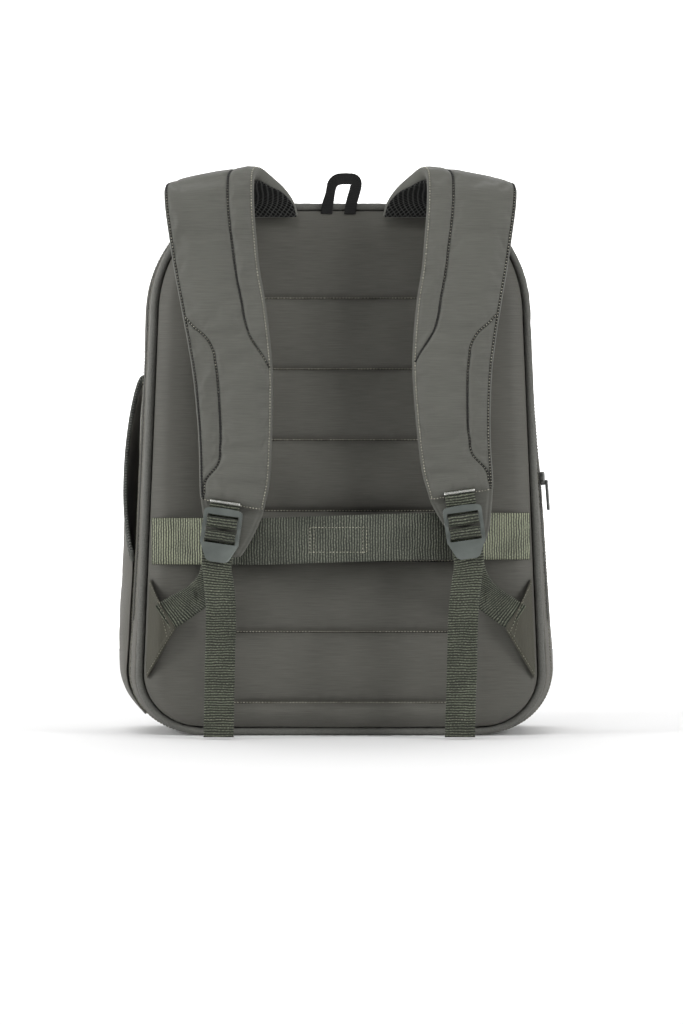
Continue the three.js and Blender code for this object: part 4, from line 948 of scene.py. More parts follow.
def corded_edge():
    half_across, half_along = piping_width / 2, piping_depth / 2
    sections = []
    for share in around:
        place = Vector((math.cos(share * math.pi) * 38, math.sin(share * math.pi) * 38, 3))
        pucker = 1 + 0.12 * noise(place)
        section = []
        for turn in np.linspace(0, 2 * math.pi, 14, endpoint=False):
            out = half_across + half_across * math.cos(turn) * pucker
            x, z = outline_point(outline(0, -out), share)
            section.append((x, half_along - edge_height + half_along * math.sin(turn), z))
        sections.append(section)
    return skin("corded_edge", sections, wrap=True, ring=True)


dress(corded_edge(), "piping", cord_nylon, "rear_piping")


def gusset_band(name, rear, front, columns, depth, size, seed):
    across = np.linspace(0, 1, columns)
    grid = [[gusset_point(share, lambda z, t=t: mix(rear(z), front(z), t)) for t in across]
            for share in around]
    grid = creased(grid, depth, size, seed, edge=0.12, closed=True)
    return thick(skin(name, grid, ring=True, outward=bag_middle), gusset_cloth)


rear_band = gusset_band("rear_band", lambda z: piping_depth - edge_height + gap,
                        lambda z: rear_zip_depth - zip_gap(z, rear_zip_end), 7, 0.5, 30, 3)
dress(rear_band, "shell_fabric", shell_nylon, "rear_gusset")
side_band = gusset_band("side_band", lambda z: rear_zip_depth + zip_gap(z, rear_zip_end),
                        lambda z: main_zip_depth(z) - zip_gap(z, main_zip_end), 38, 1.5, 46, 11)
dress(side_band, "shell_fabric", shell_nylon, "body_gusset")


def zip_run(end, count=620):
    """Shares up one side, over the top and down the other."""
    first = share_at(end - 0.8 * zip_ramp)
    fine = np.concatenate([np.linspace(first, 1, 900), np.linspace(-1, -first, 900)])
    places = np.array([outline_point(outline(1), s) for s in fine])
    run = np.concatenate([[0], np.cumsum(np.linalg.norm(np.diff(places, axis=0), axis=1))])
    picks = np.clip(np.searchsorted(run, np.linspace(0, run[-1], count)), 0, len(fine) - 1)
    return fine[picks]


# Places across a zip tape, and how deep its face lies there
tape_section = ((-4, 1.7), (-3.9, 0.9), (-2.4, 0.8), (-2, 1), (2, 1), (2.4, 0.8), (3.9, 0.9), (4, 1.7))
pocket_tape_section = (
    (-4.2, 2), (-3.9, 0.8), (-2.2, 0.5), (-2, 0.7), (2, 0.7), (2.2, 0.5), (3.9, 0.8), (4.2, 2),
)


def gusset_zip(name, middle_of, end, node):
    wide = zip_gap(body_height, end)
    tape, line, outs = [], [], []
    for share in zip_run(end):
        tape.append([gusset_point(share, lambda z, o=offset: middle_of(z) + o * zip_gap(z, end) / wide, inset)
                     for offset, inset in tape_section])
        line.append(gusset_point(share, middle_of, 0.5))
        outs.append(np.subtract(gusset_point(share, middle_of, 0), gusset_point(share, middle_of, 2)))
    piece = thick(skin(name, tape, outward=bag_middle), tape_wall)
    dress(piece, "zip_tape", tape_weave, node)
    laid_along(name + "_teeth", [line], teeth, "zip_tape", coil_nylon, [np.array(outs)])


gusset_zip("laptop_zip_tape", lambda z: rear_zip_depth, rear_zip_end, "rear_zip")
gusset_zip("main_zip_tape", main_zip_depth, main_zip_end, "main_zip")

edge_runs = []
for depth in (lambda z: rear_zip_depth - zip_gap(z, rear_zip_end) - 1.6,
              lambda z: rear_zip_depth + zip_gap(z, rear_zip_end) + 1.6,
              lambda z: main_zip_depth(z) - zip_gap(z, main_zip_end) - 1.8):
    edge_runs.append([gusset_point(share, depth, -0.25) for share in [*around, around[0]]])
laid_along("gusset_stitches", edge_runs, stitches, "shell_fabric", fabric_thread, Spacing=0.0028,
           Length=0.002)

# Front


seam_set = 7  # how far the front's seam lies behind its face


def front_cloth():
    rings = []
    for share in around[::2]:
        x, z = outline_point(outline(1), share)
        rim_y = main_zip_depth(z) + zip_gap(z, main_zip_end)
        seam_y = front_surface(x, z) - seam_set
        ring = [(x, mix(rim_y, seam_y, t), z) for t in np.linspace(0, 1, 6)]
        for turn in np.linspace(0.2, 1, 5) * math.pi / 2:
            shrink = mix(1, 0.975, 1 - math.cos(turn))
            inner_x, inner_z = x * shrink, mix(front_middle, z, shrink)
            ring.append((inner_x, front_surface(inner_x, inner_z) - seam_set * (1 - math.sin(turn)), inner_z))
        for shrink in np.linspace(0.95, 0.02, 40):
            inner_x, inner_z = x * shrink, mix(front_middle, z, shrink)
            ring.append((inner_x, front_surface(inner_x, inner_z), inner_z))
        rings.append(ring)
    grid = creased(rings, 1.3, 60, 29, edge=0.06, closed=True)
    sheet = skin("front_cloth", grid, ring=True, outward=bag_middle)
    form = bmesh.new()
    form.from_mesh(sheet.data)
    bmesh.ops.holes_fill(form, edges=[e for e in form.edges if e.is_boundary and e.verts[0].co.y > 0.02
                                      and (e.verts[0].co - e.verts[1].co).length < 0.003
                                      and abs(e.verts[0].co.x - shift[0] / 1000) < 0.01], sides=0)
    form.to_mesh(sheet.data)
    form.free()
    return thick(sheet, gusset_cloth)


dress(front_cloth(), "shell_fabric", shell_nylon, "front_panel")


def pocket_half(z, inset=0.0):
    """Half the pocket's width at a height, with rounded corners."""
    low, high, corner = pocket_bottom + inset, pocket_top - inset, pocket_corner - inset
    up = clamp((z - low - corner) / (high - low - 2 * corner))
    side = mix(pocket_half_width, pocket_top_half_width, up) - inset
    short = clamp(max(low + corner - z, z - high + corner) / corner)
    return side - corner * (1 - math.sqrt(1 - short * short))


def pocket_rise(x, z):
    """Share of the pocket's rise over the front panel, from its sewn edge to its face."""
    inside = min(pocket_half(z) - abs(x), z - pocket_bottom, pocket_top - z)
    corner_x = max(0.0, abs(x) - (pocket_half(pocket_top / 2) - pocket_corner))
    corner_z = max(0.0, pocket_bottom + pocket_corner - z, z - pocket_top + pocket_corner)
    if corner_x > 0 and corner_z > 0:
        inside = min(inside, pocket_corner - math.hypot(corner_x, corner_z))
    steps = ((0, 0), (2, 0.45), (6.6, 0.74), (18, 0.9), (60, 1))
    return float(np.interp(max(inside, 0), *zip(*steps)))


def pocket_surface(x, z):
    up = (z - pocket_bottom) / (pocket_top - pocket_bottom)
    return front_surface(x, z) + pocket_seat + pocket_standoff * pocket_rise(x, z) * mix(1.06, 0.86, up)


def pocket_cloth():
    shares = np.sin(np.linspace(-1, 1, 91) * math.pi / 2)
    heights = mix(pocket_bottom, pocket_top, (1 - np.cos(np.linspace(0, 1, 110) * math.pi)) / 2)
    grid = [[(s * pocket_half(z), pocket_surface(s * pocket_half(z), z), z) for s in shares] for z in heights]
    grid = creased(grid, 1.5, 50, 41, edge=0.08)
    return thick(skin("pocket_cloth", grid, outward=bag_middle), pocket_cloth_wall)


pocket = dress(pocket_cloth(), "shell_fabric", shell_nylon, "front_pocket")


def pocket_zip_height(x):
    return pocket_top - 26 - 12 * (x / pocket_top_half_width) ** 2


def pocket_zip():
    tape, line, outs = [], [], []
    for x in np.linspace(-86, 86, 120):
        z = pocket_zip_height(x)
        out = max(pocket_surface(x, z + dz) for dz in (-4, -2, 0, 2, 4)) + 1.9
        tape.append([(x, max(pocket_surface(x, z + dz) + 0.5, out - back), z + dz)
                     for dz, back in pocket_tape_section])
        line.append((x, out - 0.2, z))
        outs.append((0, 1, 0.3))
    piece = thick(skin("pocket_zip_tape", tape, outward=bag_middle), tape_wall)
    dress(piece, "zip_tape", tape_weave, "front_pocket_zip")
    laid_along("pocket_zip_teeth", [line], teeth, "zip_tape", coil_nylon, [np.array(outs)])


pocket_zip()

pocket_runs = []
for inset in (3.2, 11):
    ring = []
    for z in np.linspace(pocket_bottom + inset, pocket_top - inset, 90):
        ring.append((pocket_half(z, inset), 0, z))
    ring = [*ring, *[(-x, y, z) for x, y, z in ring[::-1]]]
    ring.append(ring[0])
    run = smooth_run([(x, pocket_surface(x, z), z) for x, y, z in ring], 3)
    pocket_runs.append(laid_on(pocket, run, (0, 1, 0), 0.2))
for side in (-1, 1):
    run = [(x, pocket_zip_height(x) + 6.5 * side) for x in np.arange(-92, 92.1, 2)]
    pocket_runs.append(laid_on(pocket, [(x, pocket_surface(x, z), z) for x, z in run], (0, 1, 0), 0.2))
laid_along("pocket_stitches", pocket_runs, stitches, "shell_fabric", fabric_thread, Spacing=0.0028,
           Length=0.002)

# Bottle pocket


def mouth_height(across):
    return mix(bottle_rear_top, bottle_front_top, across**0.85)


def bottle_point(across, z, out):
    up = (z - bottle_bottom) / (mouth_height(across) - bottle_bottom)
    y = mix(bottle_rear, front_seam(z) - bottle_front_margin, across)
    shape = outline(swell_at(y))
    stand = bottle_bulge * math.sin(math.pi * clamp(across)) ** 0.55 * math.sin(clamp(up / 0.5) * math.pi / 2)
    return -(half_width(shape, z) + lean_at(shape, z) + out + stand), y, z


def bottle_cloth():
    grid = []
    for across in (1 - np.cos(np.linspace(0, 1, 46) * math.pi)) / 2:
        heights = mix(bottle_bottom, mouth_height(across), np.linspace(0, 1, 60) ** 1.15)
        grid.append([bottle_point(across, z, 1.9) for z in heights])
    grid = creased(grid, 1.2, 34, 53, edge=0.05)
    return thick(skin("bottle_pocket_cloth", grid, outward=bottle_side_middle), bottle_cloth_wall)


dress(bottle_cloth(), "shell_fabric", shell_nylon, "bottle_pocket")


# The binding's section: places out from the pocket's mouth and up from it
binding_section = (
    (0.5, 0.2), (-0.8, 0), (-2.1, 0.9), (-2.6, 4.5), (-2.1, 8.1), (-0.8, 9), (0.5, 8.8), (0.7, 4.5),
)


def bottle_elastic():
    sections = []
    for across in np.linspace(0, 1, 420):
        x, y, z = bottle_point(across, mouth_height(across), 1.4)
        z += gap
        sections.append([(x + out, y, z + up) for out, up in binding_section])
    piece = skin("bottle_mouth_elastic", sections, wrap=True, ends=True)
    return grown(piece, ribs, knit_elastic, Spacing=0.0024, Height=0.0004)


dress(bottle_elastic(), "elastic", knit_elastic, "bottle_pocket_elastic")

# Shoulder straps

edge_place = (0.93, 0.08)  # where the inner and the outer channel have run out into the strap's edge
# rise, drop, reach, centre, width, thickness, twist, inner channel, outer channel
strap_stops = [
    (-0.3, 0, 0.19, 0.62, 0.86, 0.5, 0, 0.7, 0.08),
    (0.2, 0, 0.19, 0.655, 0.88, 0.72, 0, 0.7, 0.08),
    (0.62, 0, 0.25, 0.74, 0.93, 0.86, 0.25, 0.7, 0.08),
    (0.92, 0, 0.38, 0.86, 0.98, 0.95, 0.55, 0.71, 0.08),
    (1, 0, 0.57, 0.955, 1.01, 1, 1.1, 0.72, 0.08),
    (0.86, 0, 0.78, 1, 1.01, 1, 1, 0.71, 0.08),
    (0.48, 0, 0.93, 1.004, 1, 1, 0.55, 0.705, 0.08),
    (0, 0, 0.99, 1, 0.995, 1, 0.1, 0.705, 0.08),
    (0, 0.11, 1.01, 0.975, 0.975, 1, 0, 0.71, 0.08),
    (0, 0.22, 1.02, 0.945, 0.955, 1, 0, 0.715, 0.08),
    (0, 0.33, 1.02, 0.903, 0.95, 1, 0, 0.72, 0.08),
    (0, 0.4, 1.015, 0.88, 0.937, 1, 0, 0.73, 0.08),
    (0, 0.44, 1.01, 0.868, 0.928, 1, 0, 0.76, 0.22),
    (0, 0.49, 1.005, 0.855, 0.916, 1, 0, 0.85, 0.3),
    (0, 0.53, 1, 0.845, 0.905, 1, 0, 0.93, 0.305),
    (0, 0.68, 0.98, 0.832, 0.855, 1, 0, 0.93, 0.31),
    (0, 0.81, 0.95, 0.836, 0.815, 1, -0.1, 0.93, 0.3),
    (0, 0.87, 0.935, 0.842, 0.8, 1, -0.2, 0.93, 0.27),
    (0, 0.93, 0.915, 0.853, 0.78, 0.9, -0.4, 0.93, 0.1),
    (0, 0.995, 0.87, 0.874, 0.72, 0.66, -0.7, 0.93, 0.08),
    (0, 1.012, 0.83, 0.877, 0.7, 0.34, -0.7, 0.93, 0.08),
    (0, 1.06, 0.83, 0.892, 0.62, 0.32, -0.5, 0.93, 0.08),
    (0, 1.13, 0.83, 0.918, 0.47, 0.32, -0.2, 0.93, 0.08),
    (0, 1.185, 0.83, 0.935, 0.3, 0.32, 0, 0.93, 0.08),
]
strap_end = strap_stops[19]
channel_depth = 1.9


def strap_rows(way, step):
    rows = []
    for rise, drop, reach, centre, width, thickness, twist, seam, lobe in strap_stops:
        seam_sinks = thickness > 0.8 and abs(seam - edge_place[0]) > 0.01
        lobe_sinks = thickness > 0.8 and abs(lobe - edge_place[1]) > 0.01
        rows.append((centre * strap_spread + way["sway"] * drop**2, -reach * strap_reach,
                     seam_top + rise * strap_rise - drop * (strap_drop + way["longer"]), width * strap_width,
                     thickness * strap_thickness, twist * strap_thickness, seam, float(seam_sinks), lobe,
                     float(lobe_sinks)))
    return smooth_run(rows, step)


def strap_point(run, normals, i, across, out):
    x, y, z, width, _, twist = run[i][:6]
    return np.array([x + (0.5 - across) * width, y, z + (across - 0.5) * twist]) + normals[i] * out


def strap_normals(run):
    along = np.gradient(run[:, :3], axis=0)
    normals = np.stack([np.zeros(len(run)), along[:, 2], -along[:, 1]], axis=1)
    return normals / np.linalg.norm(normals, axis=1, keepdims=True)


def strap_profile(row, across):
    """Height of the strap's outer face over its middle, in millimetres."""
    width, thickness, seam, seam_sink, lobe, lobe_sink = row[3], row[4], row[6], row[7], row[8], row[9]
    half = thickness / 2
    crown = (1 - abs(2 * across - 1) ** 8) ** 0.5
    near = min(across, 1 - across) * width
    rim = 0.55 * math.exp(-(((near - 3.0) / 1.1) ** 2)) * clamp(thickness / 6)
    sunk = seam_sink * math.exp(-(((across - seam) * width / 1.9) ** 2))
    sunk += lobe_sink * math.exp(-(((across - lobe) * width / 1.9) ** 2))
    return half * mix(0.1, 1, crown) - rim - channel_depth * clamp(sunk)


def shoulder_strap(side, way):
    run = strap_rows(way, 2.2)
    normals = strap_normals(run)
    shares = (1 - np.cos(np.linspace(0, 1, 60) * math.pi)) / 2
    shares = mix(np.linspace(0, 1, 60), shares, 0.45)
    grid = np.array([[strap_point(run, normals, i, a, strap_profile(row, a)) for a in shares]
                     for i, row in enumerate(run)])
    pins = np.zeros(grid.shape[:2], bool)
    caps = np.full(grid.shape[:2], 2.2)
    for i, row in enumerate(run):
        near = np.minimum(shares, 1 - shares) * row[3]
        pins[i] = near < 3.4
        for place, sinks in ((row[6], row[7]), (row[8], row[9])):
            if sinks > 0.35:
                pins[i] |= np.abs(shares - place) * row[3] < 1.2
        caps[i] = 2.2 if row[4] > 9 else 0.3
    pins[0] = pins[-1] = True
    pins[run[:, 4] < 6] = True
    grid[:, :, 0] *= way["sign"]
    if way["sign"] < 0:
        grid, pins, caps = grid[:, ::-1], pins[:, ::-1], caps[:, ::-1]
    grid = swollen("strap_sheet", grid, pins, caps, 5.0, 0.025)
    under = np.array([[strap_point(run, normals, i, a, -row[4] / 2) for a in (0.985, 0.8, 0.5, 0.2, 0.015)]
                      for i, row in enumerate(run)])
    under[:, :, 0] *= way["sign"]
    if way["sign"] < 0:
        under = under[:, ::-1]
    piece = rounder(skin("padded_strap_" + side, np.concatenate([grid, under], axis=1), wrap=True, ends=True))
    dress(piece, "strap_fabric", strap_nylon, "shoulder_strap_" + side)
    stitch_strap(piece, side, way)
    return piece


def stitch_strap(piece, side, way):
    run = strap_rows(way, 1.6)
    normals = strap_normals(run)
    ends_at = next(i for i, row in enumerate(run) if row[4] < 0.6 * strap_thickness and i > 60)
    flip = np.array([way["sign"], 1, 1])

    def lay(places):
        line = np.array([strap_point(run, normals, i, a, strap_profile(run[i], a)) for i, a in places]) * flip
        outs = np.array([normals[i] for i, _ in places]) * flip
        return laid_on(piece, line, outs, 0.42)

    runs = [lay([(i, 2.2 / run[i][3]) for i in range(6, ends_at)]),
            lay([(i, 1 - 2.5 / run[i][3]) for i in range(6, ends_at)]),
            lay([(ends_at, a) for a in np.linspace(0.04, 0.96, 40)])]
    for place, sinks, far in ((6, 7, 0.96), (8, 9, 0.04)):
        inner = [(i, run[i][place]) for i in range(4, ends_at) if run[i][sinks] > 0.25]
        (first_row, first_share), (last_row, last_share) = inner[0], inner[-1]
        head = [(max(first_row - k, 4), mix(first_share, far, k / 5)) for k in range(5, 0, -1)]
        foot = [(min(last_row + k, ends_at), mix(last_share, far, k / 5)) for k in range(1, 6)]
        runs.append(lay([*(head if place == 8 else []), *inner, *foot]))
    laid_along("strap_stitches_" + side, runs, stitches, "strap_fabric", pale_thread, Spacing=0.0024,
               Length=0.0015, Thread=0.00042)
    # Dark tubes along the edge and channel stitching: painted shade in the strap's seam creases and needle
    # holes.
    folds = [run + (0, 0.5, 0) for run in (runs[0], *runs[3:])]
    laid_along("strap_folds_" + side, folds, crease_shade_tree, "strap_fabric", fold_cloth, Width=0.0014, Hole=0.0023)


def strap_lining(side, way):
    run = strap_rows(way, 3)
    run = run[: next(i for i, row in enumerate(run) if row[4] < 0.6 * strap_thickness and i > 40)]
    normals = strap_normals(run)
    sections = []
    for i, row in enumerate(run):
        near, far = -row[4] / 2 - gap, -row[4] / 2 - gap - 1.6
        shares = np.linspace(0.97, 0.03, 22)
        face = [strap_point(run, normals, i, a, near) for a in shares]
        sections.append(face + [strap_point(run, normals, i, a, far - 0.7 * math.sin(math.pi * a))
                                for a in shares[::-1]])
    sections = np.array(sections) * (way["sign"], 1, 1)
    return skin("mesh_lining_" + side, sections, wrap=True, ends=True)


for side, way in side_ways.items():
    shoulder_strap(side, way)
    dress(strap_lining(side, way), "strap_mesh", lining_mesh, "strap_lining_" + side)


# Buckles and webbing

layer = webbing_thickness + gap
flap_face = -strap_stops[20][2] * strap_reach - strap_stops[20][5] * strap_thickness / 2
buckle_back = flap_face - (3 * layer + 1.7)
buckle_across = np.array([math.cos(buckle_lean), 0, math.sin(buckle_lean)])
buckle_up = np.array([-math.sin(buckle_lean), 0, math.cos(buckle_lean)])
over, under = buckle_thickness + layer, -layer
one_layer, two_layers = webbing_thickness + 2, 2 * webbing_thickness + 2
bar = (buckle_length - lift_tab - 5.6 - 2 * one_layer - two_layers) / 2
slot_three = (-buckle_length / 2 + lift_tab, -buckle_length / 2 + lift_tab + one_layer)
slot_two = (slot_three[1] + bar, slot_three[1] + bar + two_layers)
slot_one = (slot_two[1] + bar, slot_two[1] + bar + one_layer)


def buckle_origin(way):
    strap_foot = seam_top - strap_end[1] * (strap_drop + way["longer"])
    return np.array([way["spread"], buckle_back, strap_foot - way["tab"]])


def on_buckle(way, u, v, w):
    return buckle_origin(way) + buckle_across * u + buckle_up * v + np.array([0, -w, 0])


def webbing(name, stops, width, thickness, material, mirror=1, spacing=0.0021, height=0.00035, step=0.42):
    """Ribbed webbing along stops of (place, direction of its width)."""
    run = smooth_run([(*at, *across) for at, across in stops], step)
    places, across = run[:, :3], run[:, 3:6]
    along = np.gradient(places, axis=0)
    along /= np.linalg.norm(along, axis=1, keepdims=True)
    across = across / np.linalg.norm(across, axis=1, keepdims=True)
    normal = np.cross(along, across)
    normal /= np.linalg.norm(normal, axis=1, keepdims=True)
    half, deep = width / 2, thickness / 2
    flat = [(s * (half - 0.35), deep) for s in np.linspace(-1, 1, 13)]
    section = [*flat, (half, deep * 0.45), (half, -deep * 0.45)]
    section += [(-a, -n) for a, n in section]
    grid = np.array([[place + way * a + out * n for a, n in section]
                     for place, way, out in zip(places, across, normal)])
    grid[:, :, 0] *= mirror
    piece = skin(name, grid, wrap=True, ends=True)
    return grown(piece, ribs, material, Spacing=spacing, Height=height)


def buckle_loop(side, way):
    forward, back = slot_one[0] + 0.85, slot_two[1] - 0.85
    top = way["tab"]
    end_face = -strap_end[2] * strap_reach - strap_end[5] * strap_thickness / 2
    strap_face = buckle_back - end_face + gap + webbing_thickness / 2
    middle = buckle_thickness / 2
    stops = [
        (top + 0.5, strap_face + 0.3), (top - 2, strap_face + 0.2), ((slot_one[1] + top) / 2, under),
        (slot_one[1] + 0.6, under), (forward + 0.4, 0.1), (forward, middle), (forward - 0.7, over - 0.8),
        (forward - 2.1, over), (back + 2.1, over), (back + 0.8, over - 0.9), (back, middle - 0.3),
        (back + 0.2, -0.5), (back + 1.4, under - layer + 0.2), (back + 3.5, under - layer),
        (slot_one[1], under - layer - 0.1), (top - 5.5, under - layer - 0.1),
    ]
    piece = webbing("buckle_loop_" + side, [(on_buckle(way, 0, v, w), buckle_across) for v, w in stops],
                    webbing_width, webbing_thickness, strap_webbing, way["sign"], height=0.0003, step=0.35)
    dress(piece, "webbing", strap_webbing, "buckle_tab_" + side)
    tack_face = strap_face + webbing_thickness / 2 + 0.75
    zigzag = [on_buckle(way, u, top - 0.9 + (0.75 if k % 2 else -0.75), tack_face)
              for k, u in enumerate(np.arange(-12.0, 12.1, 0.42))]
    bar_tack = [np.array(zigzag) * (way["sign"], 1, 1)]
    laid_along("bar_tack_" + side, bar_tack, thread, "webbing", white_thread, Thread=0.0005)


wing_tip = np.array([half_width(panel_shape, wing_tip_height) - wing_reach, 0, wing_tip_height])
wing_edge = np.array([math.cos(wing_tip_angle), 0, math.sin(wing_tip_angle)])
wing_tip_y = -(pad_height(wing_tip[0], wing_tip[2]) + wing_lift)
tail_middle = 96
# how far down the free end, and how far out it hangs there
tail_rows = ((0.08, 0.6), (0.22, 1.6), (0.4, -0.4), (0.58, 1.2), (0.78, -1.6), (1, -3.6))


def ripple(piece, way):
    """Soft waves down the free end, a little askew, as webbing keeps from being folded."""
    points = corners(piece.data)
    for point in points:
        x, y, z = point * 1000 - shift
        down = ease(buckle_origin(way)[2] - 30 - z, 0, 14) * ease(z, 4, 20)
        beside = x * way["sign"] - tail_middle
        if y > wing_tip_y - 5 or abs(beside) > 20 or down == 0:
            continue
        skew = beside * 0.35
        wave = 1.0 * math.sin((z + skew) / 6.1) + 0.6 * math.sin((z - skew) / 3.3 + 1.2)
        point[1] += wave * down / 1000
    piece.data.vertices.foreach_set("co", points.astype(np.float32).ravel())
    piece.data.update()


def bend(bends, t):
    """A point on the curve that four places give."""
    weights = ((1 - t) ** 3, 3 * (1 - t) ** 2 * t, 3 * (1 - t) * t**2, t**3)
    return sum(weight * place for weight, place in zip(weights, bends))


def pull_webbing(side, way):
    start = np.array([wing_tip[0], wing_tip_y, wing_tip[2]])
    leaving = np.array([-wing_edge[2], 0, wing_edge[0]])
    first, rear = start + leaving * 0.6, under - 2.4 * layer
    bends = [
        first, first + leaving * buckle_length * 0.62,
        on_buckle(way, 0, -buckle_length * 1.05, rear + 2), on_buckle(way, 0, -buckle_length * 0.56, rear),
    ]
    stops = [(start - leaving * 5, wing_edge)]
    for i in range(7):
        t = i / 6
        stops.append((bend(bends, t), mix(wing_edge, buckle_across, t**0.8)))
    forward, back = slot_two[0] + 0.85, slot_three[1] - 0.85
    middle = buckle_thickness / 2
    threaded = [
        (-buckle_length * 0.3, under - 2 * layer), (slot_three[1], under - 1.3 * layer),
        (forward - 1.7, under - 0.5), (forward - 0.2, -0.1), (forward, middle - 0.3),
        (forward - 0.8, over - 0.9), (forward - 2.1, over), (back + 2.1, over), (back + 0.7, over - 0.8),
        (back, middle), (back - 0.3, 0), (back - 1.8, under), (slot_three[0] - 4, under),
        (-buckle_length / 2 - 1.5, under),
    ]
    stops += [(on_buckle(way, 0, v, w), buckle_across) for v, w in threaded]
    hang = stops[-1][0]
    for down, out in tail_rows:
        slide = clamp(down * 4)
        x = mix(hang[0], mix(way["tail_top"], way["tail_foot"], down), slide)
        place = np.array([x, hang[1] - out, mix(hang[2], 2, down)])
        stops.append((place, mix(buckle_across, np.array([1, 0, 0]), slide)))
    piece = webbing("pull_webbing_" + side, stops, webbing_width, webbing_thickness, strap_webbing,
                    way["sign"])
    ripple(piece, way)
    dress(piece, "webbing", strap_webbing, "adjuster_webbing_" + side)
    middle = mix(way["tail_top"], way["tail_foot"], 0.9)
    hem = [(middle + u, hang[1] + 1.2, 16) for u in np.arange(-11, 11.1, 1)]
    hem = laid_on(piece, np.array(hem) * (way["sign"], 1, 1), (0, -1, 0), 0.2)
    laid_along("hem_stitches_" + side, [hem], stitches, "webbing", fabric_thread)


def wing(side, way):
    def place(up, in_):
        root_z = mix(wing_bottom, wing_top, up)
        root = np.array([half_width(panel_shape, root_z) - 2.2, 0, root_z])
        at = mix(root, wing_tip + wing_edge * (up - 0.5) * webbing_width, in_)
        lowest = -(pad_height(at[0], at[2]) + gap + 0.5)
        at[1] = min(lowest, mix(lowest, wing_tip_y + wing_thickness / 2, in_))
        return at

    ups, ins = np.linspace(0, 1, 40), np.linspace(0, 1, 34)
    face = np.array([[place(u, t) - (0, wing_thickness, 0) for u in ups] for t in ins])
    for i, t in enumerate(ins):
        for j, u in enumerate(ups):
            edge = min(u, 1 - u, 1 - t) * 60
            pull = 1.1 * noise(Vector((u * 1.6, t * 2.4, 4.0 + way["sign"]))) * ease(edge, 0, 8)
            face[i, j, 1] += 1.1 * (1 - ease(edge, 0, 2.2)) + pull - 0.35 * math.exp(-((edge - 5.5) ** 2))
    back = np.array([[place(u, t) - (0, 0.2, 0) for u in ups] for t in ins])[:, ::-3]
    grid = np.concatenate([face, back], axis=1)
    grid[:, :, 0] *= way["sign"]
    piece = dress(rounder(skin("side_wing_" + side, grid, wrap=True, ends=True)), "shell_fabric", wing_nylon,
                  "wing_" + side)
    along_in, along_up = np.linspace(0.06, 0.93, 50), np.linspace(0.12, 0.88, 30)
    lines = [[(0.955, t) for t in along_in], [(0.045, t) for t in along_in]]
    lines += [[(u, t) for u in along_up] for t in (0.74, 0.86)]
    runs = [np.array([place(u, t) for u, t in line]) * (way["sign"], 1, 1) for line in lines]
    runs = [laid_on(piece, run, (0, -1, 0), 0.2) for run in runs]
    laid_along("wing_stitches_" + side, runs, stitches, "shell_fabric", fabric_thread, Thread=0.0003)


def smooth_box(points):
    """A line with square corners, filled in at about 1.5 mm."""
    filled = []
    for a, b in zip(points, points[1:]):
        count = max(2, int(np.linalg.norm(np.subtract(b, a)) / 1.5))
        filled += [mix(np.array(a), np.array(b), t) for t in np.linspace(0, 1, count, endpoint=False)]
    return np.array([*filled, points[-1]])


sharp_edge = math.radians(30)


def eased_copy(name, node, width):
    """A finer copy of a hard solid, with its edges rounded."""
    piece = bpy.data.objects.new(name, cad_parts[node].data.copy())
    bpy.context.scene.collection.objects.link(piece)
    form = bmesh.new()
    form.from_mesh(piece.data)
    bmesh.ops.remove_doubles(form, verts=form.verts, dist=1e-6)
    bmesh.ops.dissolve_limit(form, angle_limit=math.radians(2), verts=form.verts, edges=form.edges)
    form.to_mesh(piece.data)
    form.free()
    edge = piece.modifiers.new("edges", "BEVEL")
    edge.width, edge.segments = width, 3
    edge.limit_method, edge.angle_limit = "ANGLE", sharp_edge
    edge.harden_normals = False
    baked(piece)
    piece.data.polygons.foreach_set("use_smooth", [True] * len(piece.data.polygons))
    smooth = piece.modifiers.new("even", "WEIGHTED_NORMAL")
    smooth.keep_sharp = False
    return baked(piece)


for side, way in side_ways.items():
    dress(eased_copy("ladder_buckle_" + side, "buckle_" + side, 0.0007), "buckle_plastic", buckle_plastic,
          "buckle_" + side)
    buckle_loop(side, way)
    pull_webbing(side, way)
    wing(side, way)

for name in ("rear_zip", "main_zip_right", "main_zip_left", "front_pocket_zip"):
    slider = eased_copy(name + "_slider_body", name + "_slider", 0.0009)
    dress(slider, "slider_metal", slider_paint, name + "_slider")
    pull = eased_copy(name + "_pull_tab", name + "_pull", 0.0006)
    dress(pull, "pull_plastic", pull_plastic, name + "_pull")

# Luggage strap and hang loop


box_left, box_right, box_bottom, box_top = -24.4, 20.9, 148.9, 168.6
box_inner = 3.2  # from each end of the box to its second row of stitches
# where along the half strap, and how far out towards its crest
sleeve_rows = (
    (1, 0), (0.955, 0), (0.87, 0.13), (0.76, 0.42), (0.62, 0.74), (0.5, 0.94), (0.42, 1), (0.2, 0.985),
)


